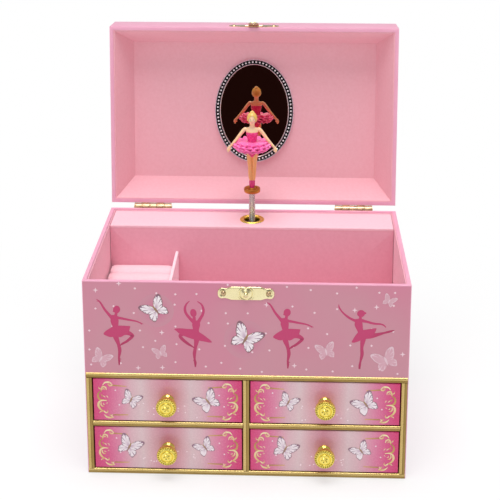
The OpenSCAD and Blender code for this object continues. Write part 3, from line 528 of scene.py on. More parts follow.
def butterfly(edge="#8A6468", ground="#F6ECF0", shade="#B58AA8", vein="#86587A", trunk="#A8834A"):
    """Open butterfly, head up: long fore wings, scalloped hind wings, veins that thicken towards the edge and
    a slim body, with the sides mirrored."""
    fore = [(0.02, 0.12), (0.06, 0.25), (0.16, 0.37), (0.30, 0.45), (0.42, 0.46), (0.46, 0.38), (0.43, 0.27),
            (0.40, 0.17), (0.34, 0.07), (0.24, -0.02), (0.03, -0.02)]
    hind = [(0.03, 0.04), (0.18, 0.04), (0.30, -0.02), (0.36, -0.12), (0.34, -0.22), (0.30, -0.33),
            (0.20, -0.31), (0.10, -0.24), (0.02, -0.12)]
    shapes = []
    for side in (-1, 1):
        for root, outline, level in ((np.array((0.03, -0.01)), hind, 4), (np.array((0.02, 0.05)), fore, 5)):
            shapes.append(wing(root * (side, 1), np.array(outline) * (side, 1), (shade, ground, edge), level))
            for n, tip in enumerate(outline[2:-1]):
                inner, outer_end = (0.5, 0.8)[n % 2], np.array(tip) - root
                line = np.array([root + outer_end * inner, root + outer_end * 0.9]) * (side, 1)
                shapes.append(stroke(line, [0.008, 0.034], vein, level, count=4))
        shapes.append(stroke(np.array([(0.30, 0.40), (0.40, 0.42), (0.44, 0.35)]) * (side, 1),
                             [0.02, 0.08, 0.02], vein, 6, edge, count=8))
        shapes.append(stroke([(0, 0.14), (0.05 * side, 0.22), (0.09 * side, 0.28)], [0.014, 0.012, 0.022],
                             trunk, 7, count=8))
    shapes.append(stroke([(0, 0.17), (0.006, 0.02), (0, -0.20)], [0.035, 0.09, 0.02], trunk, 7, edge,
                         count=12))
    return shapes


def pale_butterfly():
    """The same butterfly printed as a faint tint with a lighter outline."""
    return butterfly("#E6C4CF", "#D6A2B1", "#DBAAB8", "#E6C4CF", "#E6C4CF")


def halo(x, z, r):
    """Soft round glow: rings of radius r s, tinted from deep rose to the paper's rose by 3 s^2 - 2 s^3."""
    s = np.linspace(0.02, 1, 8)[:, None]
    a = np.linspace(0, 2 * math.pi, 36, endpoint=False)[None]
    corners = np.stack([x + r * s * np.cos(a), z + r * s * np.sin(a)], -1)
    mix = (3 * s ** 2 - 2 * s ** 3 + 0 * a)[..., None]
    tone = np.array(colour("#CE6E92")) * (1 - mix) + np.array(colour("#CB8B9C")) * mix
    return corners.reshape(-1, 2), grid_faces(8, 36, close_cols=True), tone.reshape(-1, 4), 0


front_ink = ink_finish("front inks", 0.36, Coat_Weight=0.25, Coat_Roughness=0.2)
front_shapes = []
for x, z, figure in ((-102.4, 97.6, standing_dancer), (-40.8, 97.0, crowned_dancer),
                     (33.1, 97.2, standing_dancer), (90.6, 97.8, reaching_dancer)):
    front_shapes += placed(figure(), x, z)
for x, z, size, turn in ((-71.5, 145.6, 23, 36), (-0.8, 121.6, 27, -28)):
    front_shapes.append(halo(x, z, size * 0.62))
    front_shapes += placed(butterfly(), x, z, size, turn)
for x, z, size, turn in ((-116.8, 102.6, 17, -30), (-68.5, 108.6, 13, 18), (63.8, 112, 17, 14),
                         (112.6, 156.4, 11.5, -26), (111.6, 105, 21.5, 24)):
    front_shapes += placed(pale_butterfly(), x, z, size, turn)
scatter = np.random.default_rng(11)
for place_x in np.linspace(-121, 121, 15):
    for place_z in np.linspace(97.5, 164.5, 5):
        x, z = (place_x, place_z) + scatter.uniform(-5, 5, 2)
        big = scatter.random() < 0.14
        front_shapes.append(star(x, z, 2.3 if big else 1.0, "#F0CFD9", 1, 0.34 if big else 0.8))
front_print = print_sheet("front_print", front_shapes, -outer[1], front_ink, "case")


# ---------- Drawer face frame ----------
# Rails and stiles of thin board wrapped in gold foil paper, pressed to a moulding: a broad raised side, a
# fine groove, and a narrow low side whose darker foil is painted shade. They are glued over the front edges
# of the case.
gold_foil = mottle(shader("gold foil paper", "#CBB16C", 0.26, 0.75), ["#C5AA66", "#D3BA7C"], 40)
# Darker copy of the gold foil for the moulding's low side: painted shade.
gold_foil_shade = mottle(shader("gold foil, painted shade side", "#A0854A", 0.3, 0.75), ["#987C42", "#AA9054"], 40)
grain(gold_foil_shade, 2400, 0.002 * mm, polish=(0.26, 0.36))
grain(gold_foil, 2400, 0.002 * mm, polish=(0.22, 0.32))
frame_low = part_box("drawer_face_frame")[0]
drawers = [(row, side) for row in ("upper", "lower") for side in ("left", "right")]
face = {(row, side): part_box(f"{row}_{side}_front") for row, side in drawers}
reveal = 0.8 * mm
bar_y = frame_low[1]


def moulding(start, end, low, high, upright):
    """A bar from start to end with a section of (place across, height): a raised side, a groove, a low side.
    The faces past the groove are a second shell, with the darker foil as painted shade."""
    across = np.array([0, 0, 0.04, 0.10, 0.17, 0.22, 0.30, 0.46, 0.50, 0.52, 0.56, 0.60, 0.68, 0.86, 0.95, 1,
                       1])
    height = np.array([-0.4, 0.05, 0.26, 0.58, 0.84, 0.92, 0.94, 0.94, 0.88, 0.52, 0.52, 0.80, 0.82, 0.76,
                       0.5, 0.15, -0.4]) * mm
    if not upright:
        across = 1 - across
    side = low + (high - low) * across
    rows = []
    for place in (start, end):
        along = np.full(len(side), place)
        x, z = (side, along) if upright else (along, side)
        rows.append(np.column_stack([x, bar_y - height, z]))
    rows = [np.repeat(rows[0].mean(0)[None], len(side), 0), rows[0], rows[1],
            np.repeat(rows[1].mean(0)[None], len(side), 0)]
    points, quads, _ = surface(np.stack(rows), close_cols=True)
    shade_faces = quads[:, 0] % len(side) > 8
    return [(points, quads[~shade_faces], 0), (points, quads[shade_faces], 1)]


left, right = face["upper", "left"], face["upper", "right"]
x_edges = [frame_low[0], left[0][0] - reveal, left[1][0] + reveal, right[0][0] - reveal, right[1][0] + reveal,
           frame_high[0]]
z_edges = [frame_low[2] + 0.2 * mm, face["lower", "left"][0][2] - reveal,
           face["lower", "left"][1][2] + reveal, left[0][2] - reveal, left[1][2] + reveal, frame_high[2]]
bars = (moulding(x_edges[0], x_edges[5], z_edges[4], z_edges[5], False)
        + moulding(x_edges[0], x_edges[5], z_edges[0], z_edges[1], False))
for low_x, high_x in ((x_edges[0], x_edges[1]), (x_edges[2], x_edges[3]), (x_edges[4], x_edges[5])):
    bars += moulding(z_edges[1], z_edges[4], low_x, high_x, True)
for start_x, end_x in ((x_edges[1], x_edges[2]), (x_edges[3], x_edges[4])):
    bars += moulding(start_x, end_x, z_edges[2], z_edges[3], False)
gold_frame = piece("gold_moulding", bars, [gold_foil, gold_foil_shade], "case", smooth=50)
dress(gold_foil, "drawer_face_frame")


# ---------- Drawer fronts ----------
# Four boards with soft edges, covered in glossy printed paper that shades from magenta ends through pale
# bands to rose at the knob. Gold scrollwork frames each end, with two butterflies and stars between.
def drawer_paper():
    """Glossy print whose colour runs along the board's own U from end to end."""
    mat = shader("drawer print", "#D98AA4", 0.25, Coat_Weight=0.5, Coat_Roughness=0.12)
    across = add_node(mat, "ShaderNodeUVMap")
    across.uv_map = "board"
    noise = add_node(mat, "ShaderNodeTexNoise", Vector=add_node(mat, "ShaderNodeTexCoord").outputs["Object"],
                     Scale=35.0, Detail=2.0)
    shift = add_node(mat, "ShaderNodeVectorMath", Vector=noise.outputs["Color"])
    shift.operation = "SCALE"
    shift.inputs["Scale"].default_value = 0.05
    moved = add_node(mat, "ShaderNodeVectorMath")
    mat.node_tree.links.new(across.outputs["UV"], moved.inputs[0])
    mat.node_tree.links.new(shift.outputs["Vector"], moved.inputs[1])
    split = add_node(mat, "ShaderNodeSeparateXYZ", Vector=moved.outputs["Vector"])
    ramp = add_node(mat, "ShaderNodeValToRGB", Fac=split.outputs["X"])
    stops = ((0.03, "#D42C71"), (0.10, "#D74C84"), (0.19, "#DC80A2"), (0.28, "#DBB0BA"), (0.35, "#DDC0C5"),
             (0.44, "#DAA2AF"), (0.52, "#D5899E"), (0.60, "#DAA0AD"), (0.68, "#DCBEC4"), (0.75, "#DBB2BB"),
             (0.86, "#DC80A2"), (0.94, "#D74C84"), (1.00, "#D42C71"))
    for i, (at, tone) in enumerate(stops):
        stop = ramp.color_ramp.elements[i] if i < 2 else ramp.color_ramp.elements.new(at)
        stop.position = at
        stop.color = colour(tone)
    mat.node_tree.links.new(ramp.outputs["Color"],
                            mat.node_tree.nodes["Principled BSDF"].inputs["Base Color"])
    return grain(mat, 900, 0.01 * mm, polish=(0.2, 0.32))


def soft_board(low, high, r):
    """Board with rounded front edges: its outline inset, and brought forward round a quarter circle."""
    middle = (np.array(low) + np.array(high)) / 2
    half = (np.array(high) - np.array(low)) / 2
    turn = np.radians(np.linspace(0, 90, 5))
    insets = [half[2] - 0.02 * mm, 0, *(r - r * np.cos(turn)), half[2] - 0.02 * mm]
    depths = [high[1], high[1], *(low[1] + r - r * np.sin(turn)), low[1]]
    rows = []
    for inset, y in zip(insets, depths):
        loop = plan_loop(half[0] - inset, half[2] - inset, max(0.5 * mm - inset, 0.02 * mm), 4)
        rows.append(np.column_stack([loop[:, 0] + middle[0], np.full(len(loop), y), loop[:, 1] + middle[2]]))
    return surface(np.stack(rows), close_cols=True)


def lay_out(obj, low, high):
    """UV map "board": U across and V up the board, from 0 to 1 between its corners."""
    layer = obj.data.uv_layers.new(name="board")
    corners = np.empty(len(obj.data.vertices) * 3)
    obj.data.vertices.foreach_get("co", corners)
    which = np.empty(len(obj.data.loops), int)
    obj.data.loops.foreach_get("vertex_index", which)
    at = corners.reshape(-1, 3)[which]
    uv = np.column_stack([(at[:, 0] - low[0]) / (high[0] - low[0]), (at[:, 2] - low[2]) / (high[2] - low[2])])
    layer.data.foreach_set("uv", uv.astype(np.float32).ravel())


gold_light, gold_mid, gold_dark = "#F2E2B0", "#D9AE66", "#A97A34"


def scrollwork():
    """End ornament of a 37 mm board that ends at x = 0: two C-scrolls, curled leaves and straight lines."""
    drawn = (([(15.5, 31.4), (21, 31.0), (27.2, 30.6)], [1.1, 1.0, 0.6], gold_dark, gold_mid),
             ([(15.8, 4.9), (22, 5.0), (28.2, 5.2)], [1.1, 1.0, 0.6], gold_dark, gold_mid),
             ([(7.7, 31.2), (9.8, 33.7), (13.0, 34.0), (15.2, 32.6)], [0.3, 1.2, 1.6, 0.5], gold_light,
              gold_light),
             ([(12.0, 32.8), (13.6, 31.0), (15.4, 31.6), (14.6, 33.6)], [0.5, 1.3, 1.0, 0.3], gold_mid,
              gold_light),
             ([(12.2, 34.6), (13.8, 33.2)], [0.3, 1.0], gold_light, gold_mid),
             ([(10.8, 27.2), (10.2, 29.4), (7.8, 30.0), (6.6, 27.2), (6.4, 25.6)], [0.4, 1.1, 1.3, 1.0, 0.6],
              gold_light, gold_mid),
             ([(9.6, 27.0), (8.6, 28.4), (7.6, 27.4)], [0.3, 0.8, 0.3], gold_mid, gold_light),
             ([(4.5, 30.0), (5.0, 28.4), (6.4, 28.0)], [0.2, 0.9, 0.3], gold_mid, gold_light),
             ([(6.6, 26.4), (4.4, 24.4), (3.8, 21.8), (4.7, 19.2), (7.0, 18.0), (11.2, 17.9)],
              [0.6, 1.2, 1.6, 1.6, 1.4, 0.5], gold_dark, gold_mid),
             ([(6.2, 23.2), (7.2, 22.0), (7.0, 20.8)], [0.3, 0.9, 0.2], gold_mid, gold_dark),
             ([(7.8, 22.0), (8.8, 21.4), (9.8, 20.3)], [0.3, 0.7, 0.2], gold_light, gold_light),
             ([(10.4, 22.2), (11.4, 21.4), (12.0, 20.2)], [0.2, 0.7, 0.2], gold_light, gold_light),
             ([(10.8, 17.6), (7.4, 17.8), (4.8, 16.4), (3.9, 13.6), (4.8, 10.8), (6.8, 8.8), (8.4, 8.2)],
              [0.4, 1.1, 1.6, 1.9, 1.6, 1.2, 0.7], gold_light, gold_mid),
             ([(6.4, 16.0), (6.0, 14.2), (7.2, 12.6), (8.8, 12.8)], [0.3, 1.0, 1.0, 0.3], gold_light,
              gold_mid),
             ([(8.0, 15.6), (8.2, 14.4), (9.4, 14.2)], [0.2, 0.7, 0.2], gold_light, gold_light),
             ([(10.4, 15.0), (11.6, 15.8)], [0.2, 0.7], gold_light, gold_light),
             ([(8.2, 8.4), (10.0, 6.8), (11.4, 7.6), (11.2, 9.4)], [0.9, 1.2, 0.8, 0.2], gold_light,
              gold_mid),
             ([(4.6, 6.6), (5.6, 7.6), (7.2, 7.8)], [0.2, 0.9, 0.4], gold_light, gold_mid),
             ([(8.4, 5.2), (10.4, 3.2), (13.2, 2.4), (16.2, 2.8)], [0.3, 1.4, 1.5, 0.4], gold_light,
              gold_mid),
             ([(12.8, 5.4), (14.4, 4.0), (16.0, 2.4)], [0.3, 1.1, 0.5], gold_mid, gold_light),
             ([(15.2, 5.6), (14.6, 4.2)], [0.2, 0.9], gold_light, gold_light))
    return [stroke(points, widths, tone, 3, tip, 16) for points, widths, tone, tip in drawn]


drawer_finish = drawer_paper()
board_proud = 0.8 * mm
drawer_ink = ink_finish("drawer inks", 0.25, Coat_Weight=0.5, Coat_Roughness=0.12)
butterflies_at = {("upper", "left"): ((30.3, 18.2, 17.5, -26), (93.4, 17.6, 22, 34)),
                  ("upper", "right"): ((30.3, 18.4, 17.5, -26), (93.4, 17.6, 22, 34)),
                  ("lower", "left"): ((27.9, 18.8, 22, -26), (90.5, 19.4, 18, 34)),
                  ("lower", "right"): ((27.9, 18.8, 21.5, -26), (90.5, 18.8, 18, 34))}
for number, (row, side) in enumerate(drawers):
    low, high = (np.array(corner) for corner in face[row, side])
    low[1] -= board_proud
    front = piece(f"{row}_{side}_board", [soft_board(low, high, 0.7 * mm)], [drawer_finish],
                  f"{row}_{side}_drawer")
    lay_out(front, low, high)
    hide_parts(f"{row}_{side}_front")
    width, height = (high[0] - low[0]) / mm, (high[2] - low[2]) / mm
    shapes = placed(scrollwork(), 0, 0) + placed(scrollwork(), width, 0, mirror=True)
    for x, z, size, turn in butterflies_at[row, side]:
        shapes += placed(butterfly("#97727E", "#F2E6EC", "#BC96B0", "#8C6484"), x, z, size, turn)
    spots = np.random.default_rng(5 + number)
    for x, z in zip(np.concatenate([spots.uniform(36, 52, 5), spots.uniform(68, 84, 5)]),
                    spots.uniform(3, 16, 10)):
        shapes.append(star(x, z, 0.8, "#F6DDE4", 2, 0.6))
    for x, z in ((18, 27), (21, 14), (102, 24), (106, 14)):
        shapes.append(star(x, z, 0.9, "#F8E2E8", 2, 0.5))
    ink = print_sheet(f"{row}_{side}_print", shapes, low[1], drawer_ink, f"{row}_{side}_drawer",
                      (low[0], low[2]))


# ---------- Drawer knobs ----------
# Die-cast knobs plated in bright gold: a round flange and neck, a fluted head, and a face with a roped
# edge, a ring, a groove and a small rosette. A stud through the front holds each one.
bright_gold = grain(shader("bright gold plate", "#F4E070", 0.17, 1.0), 1800, 0.004 * mm, polish=(0.13, 0.23))


def turned(profile, centre, axis, steps=96, flutes=None, petals=None):
    """Profile of (radius, height) turned about an axis. Flutes (count, depth and twist per row) work in the
    radius, r + depth cos(count t + twist), and each of the petals (count, depth per row) in the height."""
    r, h = np.array(profile, float).T
    t = np.linspace(0, 2 * math.pi, steps, endpoint=False)[None]
    r, h = r[:, None] + 0 * t, h[:, None] + 0 * t
    if flutes:
        r = r + np.array(flutes[1])[:, None] * np.cos(flutes[0] * t + np.array(flutes[2])[:, None])
    for count, depth in petals or []:
        h = h + np.array(depth)[:, None] * np.cos(count * t)
    u, v = r * np.cos(t), r * np.sin(t)
    spots = {"z": (u, v, h), "-y": (u, -h, v)}[axis]
    return surface(np.stack([spots[k] + centre[k] for k in range(3)], -1), close_cols=True)


wider, longer = 1.08, 1.06
for row, side in drawers:
    low, high = face[row, side]
    k_low, k_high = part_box(f"{row}_{side}_knob")
    reach, r = (low[1] - k_low[1]) / mm, (k_high[0] - k_low[0]) / 2 / mm * wider
    rows = [(0, 0), (5.4, 0), (5.6, 1.0), (5.2, 1.8), (4.2, 2.4), (3.8, 3.2), (3.8, 5.0), (4.2, 6.0),
            (5.4, 7.0), (r - 1.0, 7.8), (r - 0.35, 8.6), (r - 0.1, 9.6), (r - 0.1, 10.8), (r - 0.2, 11.8),
            (r - 0.5, 12.5), (r - 0.9, 12.3), (r - 1.3, 12.0), (r - 1.8, 12.1), (r - 2.2, 12.7),
            (r - 2.7, 12.9), (r - 3.2, 12.6), (r - 3.5, 12.0), (r - 3.8, 12.0), (r - 4.1, 12.7),
            (r - 4.5, 13.0), (2.6, 12.8), (2.0, 12.6), (1.4, 13.2), (0.7, reach - 0.05), (0, reach)]
    flute = [0] * 9 + [0.05, 0.12, 0.15, 0.15, 0.1] + [0] * 16
    twist = [0] * 9 + [0, 0.2, 0.5, 0.9, 1.4] + [0] * 16
    rope = [0] * 14 + [0.06, 0.3, 0.5, 0.35, 0.12] + [0] * 11
    petal = [0] * 25 + [0.15, 0.3, 0.25, 0.1, 0]
    knob = piece(f"{row}_{side}_gilt_knob", [turned(np.array(rows) * (mm, longer * mm),
                         ((low[0] + high[0]) / 2, low[1], (low[2] + high[2]) / 2), "-y", steps=144,
                         flutes=(24, np.array(flute) * mm, twist),
                         petals=((24, np.array(rope) * mm), (5, np.array(petal) * mm)))], [bright_gold],
                 f"{row}_{side}_drawer", smooth=60)
    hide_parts(f"{row}_{side}_knob")


# ---------- Drawer trays and the lining ----------
# Trays, compartment lining, divider and the step over the movement are thin board covered with short pink
# flock, which looks matt from the front and pale along its edges.
def flock(name, tones, sheen=0.45):
    """Short pile: matt colour with a fine speckle, tiny relief, and sheen."""
    mat = shader(name, tones[0], 0.92, Sheen_Weight=sheen, Sheen_Roughness=0.4, Sheen_Tint=colour("#FFDDE6"))
    mat.node_tree.nodes["Principled BSDF"].inputs["Specular IOR Level"].default_value = 0.15
    mottle(mat, tones, 420, detail=8.0, spread=0.3)
    return grain(mat, 2600, 0.12 * mm, detail=2.0)


case_flock = flock("pink flock", ["#ECAFBE", "#F1B9C7"])
step_flock = flock("deep pink flock", ["#EAA9BA", "#F0B4C3"])
deck_flock = flock("pale pink flock", ["#F6C4D0", "#F9CCD7"])
dress(case_flock, "case_lining", "ring_tray")
dress(case_flock, *[f"{row}_{side}_tray" for row, side in drawers])
dress(deck_flock, "music_cover")
# The divider has a paler copy of the pink flock: painted light on its face.
dress(flock("divider flock, painted light", ["#FAD9E1", "#FCE0E7"]), "ring_divider")


def rounded_step(low, high, hole_at, hole_r, r):
    """Top of the step as one slab: columns run from a round hole out to a rounded rectangle, over its edge
    as a quarter circle (inset r - r sin a, drop r - r cos a) and back underneath."""
    half = (np.array(high) - np.array(low)) / 2
    middle = (np.array(high) + np.array(low)) / 2
    loop = plan_loop(half[0], half[1], 0.8 * mm, 4)
    sides = np.vstack([loop, loop[:1]])
    along = np.concatenate([[0], np.cumsum(np.linalg.norm(np.diff(sides, axis=0), axis=1))])
    at = np.unique(np.concatenate([along[:-1], np.linspace(0, along[-1], 160, endpoint=False)]))
    rim = np.column_stack([np.interp(at, along, sides[:, 0]), np.interp(at, along, sides[:, 1])]) + middle[:2]
    away = rim - np.array(hole_at)
    away /= np.linalg.norm(away, axis=1)[:, None]
    hole = np.array(hole_at) + hole_r * away
    inward = np.sign(middle[:2] - rim)
    turn = np.radians(np.linspace(0, 90, 6))
    rows = [np.column_stack([hole, np.full(len(hole), z)]) for z in (low[2], high[2])]
    for a in turn:
        edge = rim + inward * (r - r * math.sin(a))
        rows.append(np.column_stack([edge, np.full(len(rim), high[2] - r + r * math.cos(a))]))
    rows.append(np.column_stack([rim, np.full(len(rim), low[2])]))
    return surface(np.stack(rows), close_rows=True, close_cols=True)


step_low, step_high = (np.array(corner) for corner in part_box("music_cover"))
eyelet_low, eyelet_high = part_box("grommet")
figure_y = (eyelet_low[1] + eyelet_high[1]) / 2
deck_z = step_high[2]
flock_t, step_board, step_hole_r, step_edge_r = 0.7 * mm, 2.4 * mm, 8 * mm, 1.1 * mm
step_low[0], step_high[0] = step_low[0] - flock_t, step_high[0] + flock_t
step_top = rounded_step((step_low[0], step_low[1], deck_z - step_board), step_high, (0, figure_y),
                        step_hole_r, step_edge_r)
front_low = step_low + np.array([0, 0.08 * mm, 0])
front_high = (step_high[0], step_low[1] + step_board, deck_z - 2.2 * mm)
step_front = soft_board(front_low, front_high, 0.1 * mm)
step = piece("flocked_step", [step_top, second_finish(step_front)], [deck_flock, step_flock], "case")
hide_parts("music_cover")
soften(0.5 * mm, "ring_divider", *[f"{row}_{side}_tray" for row, side in drawers])
soften(0.4 * mm, "case_lining", "ring_tray")


# ---------- Ring rolls ----------
# Seven foam rolls wrapped in one piece of pale flocked cloth, pressed together so that rings slip into the
# folds between them. They are soft but firm, and glued to a raised tray.
def ring_roll(x0, x1, y, base, pitch, top):
    """Roll along X with a superellipse |u|^n + |v|^n = 1, n = 2.4, as its section; its ends are drawn in,
    and its crown is a little uneven along its length."""
    u = np.linspace(-1, 1, 33)
    ends = (1 - np.abs(u) ** 14) ** 0.35
    a = np.linspace(0, 2 * math.pi, 40, endpoint=False)
    power = 2 / 2.4
    across = np.sign(np.cos(a)) * np.abs(np.cos(a)) ** power * pitch * 0.515
    middle = (base + top) / 2
    up = np.sign(np.sin(a)) * np.abs(np.sin(a)) ** power * (top - base) / 2
    waver = 1 + 0.02 * np.sin(3.1 * u + y * 400)[:, None]
    x = (x0 + x1) / 2 + (x1 - x0) / 2 * u[:, None] + 0 * a[None]
    points = np.stack([x, y + across[None] * ends[:, None], middle + up[None] * ends[:, None] * waver], -1)
    return surface(points, close_cols=True)


rolls_low, rolls_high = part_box("ring_rolls")
roll_count = 7
roll_pitch = (rolls_high[1] - rolls_low[1] + 0.8 * mm) / roll_count
roll_flock = flock("pale flock over foam", ["#F6CBD3", "#F9D3DA"], 0.6)
rolls = piece("soft_ring_rolls",
              [ring_roll(rolls_low[0], rolls_high[0], rolls_low[1] - 0.4 * mm + roll_pitch * (k + 0.5),
                         rolls_low[2] + 0.1 * mm, roll_pitch, rolls_high[2]) for k in range(roll_count)],
              [roll_flock], "case")
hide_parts("ring_rolls")


# ---------- Music cover eyelet and the figure's spring ----------
# A rolled brass eyelet lines the hole in the step. A close-wound steel spring comes up through it on the
# movement's spindle and carries the figure, so that it can fold flat when the lid is shut.
flange, bead = (eyelet_high[0] - eyelet_low[0]) / 2, eyelet_high[2] - deck_z
bore = flange - 2 * bead
wall = 0.7 * mm
eyelet_rows = [(bore + wall, eyelet_low[2]), (bore, eyelet_low[2]), (bore, deck_z - 0.4 * mm),
               (bore + 0.15 * mm, deck_z + 0.1 * mm), (bore + 0.6 * mm, deck_z + 0.45 * mm),
               (bore + 1.4 * mm, deck_z + 0.8 * mm), (flange - 1.6 * mm, deck_z + 1.0 * mm),
               (flange - 0.8 * mm, deck_z + 0.9 * mm), (flange - 0.25 * mm, deck_z + 0.55 * mm),
               (flange, deck_z + 0.05 * mm), (flange - 0.5 * mm, deck_z - 0.1 * mm),
               (bore + wall, deck_z - 0.1 * mm), (bore + wall, eyelet_low[2])]
eyelet_brass = grain(shader("lacquered brass", "#F4E270", 0.24, 1.0), 1500, 0.006 * mm, polish=(0.2, 0.32))
eyelet = piece("eyelet", [turned(eyelet_rows, (0, figure_y, 0), "z")], [eyelet_brass], "case")
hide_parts("grommet")

steel = grain(shader("bright steel", "#DAD6D2", 0.3, 1.0), 1500, 0.006 * mm, polish=(0.18, 0.34))


def coil(centre_y, z0, z1, r, wire, turns):
    """Helix (R cos t, R sin t, z) of round wire: R + w cos s outwards, w sin s upwards, its ends closed."""
    t = np.linspace(0, 2 * math.pi * turns, int(26 * turns))[:, None]
    s = np.linspace(0, 2 * math.pi, 9, endpoint=False)[None]
    w = np.full(len(t), wire)[:, None]
    w[0] = w[-1] = 0.0
    out = r + w * np.cos(s)
    z = z0 + (z1 - z0) * t / t[-1] + w * np.sin(s)
    return surface(np.stack([out * np.cos(t), centre_y + out * np.sin(t), z], -1), close_cols=True)


spring_low, spring_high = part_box("figure_spring")
wire = 0.36 * mm
spring_r = (spring_high[0] - spring_low[0]) / 2 - wire
spring_turns = (spring_high[2] - spring_low[2] - 2 * wire) / (2.08 * wire)
spring = piece("coil_spring", [coil(figure_y, spring_low[2] + wire, spring_high[2] - wire, spring_r, wire,
                                    spring_turns)], [steel], None, merge=0.0005 * mm)
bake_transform(spring)
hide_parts("figure_spring")


# ---------- Pedestal ----------
# A small turned disc in satin gold, dished on top round a raised socket that holds the figure's toe.
pedestal_gold = grain(mottle(shader("satin gold", "#C9853C", 0.36, 0.85), ["#BF7A32", "#D39348"], 200), 1600,
                      0.02 * mm, polish=(0.3, 0.46))
ped_low, ped_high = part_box("pedestal")
ped_r, ped_top = (ped_high[0] - ped_low[0]) / 2, ped_high[2]
rim_rows = [(0, ped_low[2]), (ped_r - 0.9 * mm, ped_low[2]), (ped_r - 0.2 * mm, ped_low[2] + 0.4 * mm),
            (ped_r, ped_low[2] + 1.0 * mm), (ped_r, ped_top - 0.8 * mm),
            (ped_r - 0.3 * mm, ped_top - 0.2 * mm), (ped_r - 1.0 * mm, ped_top),
            (ped_r - 1.8 * mm, ped_top - 0.2 * mm), (ped_r - 2.3 * mm, ped_top - 1.0 * mm),
            (ped_r - 2.8 * mm, ped_top - 1.5 * mm), (3.9 * mm, ped_top - 1.5 * mm),
            (3.5 * mm, ped_top - 1.2 * mm), (3.3 * mm, ped_top - 0.1 * mm), (2.9 * mm, ped_top + 0.3 * mm),
            (0, ped_top + 0.3 * mm)]
pedestal = piece("turned_pedestal", [turned(rim_rows, (0, figure_y, 0), "z")], [pedestal_gold], "figure")
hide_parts("pedestal")


# ---------- Dancer ----------
# A moulded plastic dancer on her toes with her arms held low and open: skin, bodice, shoes and hair are
# painted in gloss on one moulding. The face is a plain calm doll's face.
fig_low, fig_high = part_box("ballerina_figure")
foot_z, tall = fig_low[2], fig_high[2] - fig_low[2]


def loft(rows, steps=48):
    """Rows of (share of height, x, y, half width, half depth) joined into a closed body of ellipses
    (x + a cos t, y + b sin t); y is measured from the figure's axis, in millimetres."""
    rows = np.array(rows, float)
    fine = smooth_line(rows, len(rows) * 5)
    fine[:, 3:] = np.maximum(fine[:, 3:], 0)
    t = np.linspace(0, 2 * math.pi, steps, endpoint=False)[None]
    x = (fine[:, 1:2] + fine[:, 3:4] * np.cos(t)) * mm
    y = figure_y + (fine[:, 2:3] + fine[:, 4:5] * np.sin(t)) * mm
    z = foot_z + fine[:, 0:1] * tall + 0 * t
    body = np.stack([x, y, z], -1)
    ends = [np.repeat(body[k].mean(0)[None, None], steps, 1) for k in (0, -1)]
    return surface(np.concatenate([ends[0], body, ends[1]]), close_cols=True)


def limb(points, radii, flat=1.0, steps=24, count=40):
    """Tube along a smooth line of (x, y, z) in millimetres from the figure's foot, with radii along it:
    centre + r (side cos t + flat * front sin t), where side and front stand square to the line."""
    line = smooth_line(points, count)
    along = np.gradient(line, axis=0)
    along /= np.linalg.norm(along, axis=1)[:, None]
    front = np.array([0, -1.0, 0]) - along * (along @ np.array([0, -1.0, 0]))[:, None]
    front /= np.linalg.norm(front, axis=1)[:, None]
    side = np.cross(along, front)
    r = np.interp(np.linspace(0, 1, count), np.linspace(0, 1, len(radii)), radii)
    ends = np.sqrt(np.clip(1 - (np.abs(np.linspace(-1, 1, count)) - 0.94).clip(0) ** 2 / 0.06 ** 2, 0, 1))
    r = (r * ends)[:, None, None]
    t = np.linspace(0, 2 * math.pi, steps, endpoint=False)[None, :, None]
    points = line[:, None] + r * (side[:, None] * np.cos(t) + flat * front[:, None] * np.sin(t))
    points = points * mm + np.array([0, figure_y, foot_z])
    return surface(points, close_cols=True)


def doll_plastic(name, base, under, rough=0.3):
    """Glossy moulded plastic: light passes a little way in and comes back warmer; the gloss is uneven."""
    mat = shader(name, base, rough, Subsurface_Weight=0.25, Subsurface_Scale=1.2 * mm, Coat_Weight=0.3,
                 Coat_Roughness=0.15)
    mat.node_tree.nodes["Principled BSDF"].inputs["Subsurface Radius"].default_value = colour(under)[:3]
    return grain(mat, 500, 0.03 * mm, polish=(rough - 0.06, rough + 0.1))


skin = doll_plastic("skin plastic", "#F9D0A4", "#FF8A48")
bodice_plastic = mottle(doll_plastic("bodice plastic", "#E5357F", "#FF4080", 0.26), ["#DC2E78", "#EC408A"],
                        300, spread=0.25)
skirt_plastic = mottle(doll_plastic("skirt plastic", "#FF78BC", "#FF6098", 0.3), ["#FD6CB4", "#FF86C6"], 300,
                       spread=0.25)
hair_plastic = mottle(doll_plastic("blonde plastic", "#E8C25A", "#FFC040", 0.34), ["#D9A93C", "#F0D27C"], 380,
                      stretch=(1, 1, 0.25))

torso = loft([(0.41, 0, 0, 2.6, 2.2), (0.46, 0, 0, 4.4, 3.6), (0.52, 0, 0, 5.0, 4.0), (0.58, 0, 0, 4.6, 3.4),
              (0.62, 0, 0, 4.0, 3.0), (0.66, 0, -0.2, 4.4, 3.2), (0.70, 0, -0.5, 5.2, 3.7),
              (0.724, 0, -0.5, 5.3, 3.6), (0.732, 0, -0.4, 4.9, 3.3)])
bust = loft([(0.70, 0, -0.2, 4.6, 2.9), (0.73, 0, -0.2, 5.2, 3.1), (0.752, 0, 0, 6.2, 2.8),
             (0.768, 0, 0.1, 6.9, 2.4), (0.780, 0, 0.2, 6.0, 2.1), (0.790, 0, 0.3, 3.4, 1.9),
             (0.802, 0, 0.3, 2.3, 2.0), (0.83, 0, 0.1, 2.15, 2.0), (0.86, 0, 0, 2.2, 2.1)])
span = tall / mm
legs = [limb([(side * 2.3, 0.2, 0.50 * span), (side * 2.3, 0, 0.40 * span), (side * 1.9, 0.1, 0.28 * span),
              (side * 1.5, 0.4, 0.16 * span), (side * 1.0, 0.2, 0.075 * span)], [2.6, 2.5, 1.9, 1.95, 1.15])
        for side in (-1, 1)]
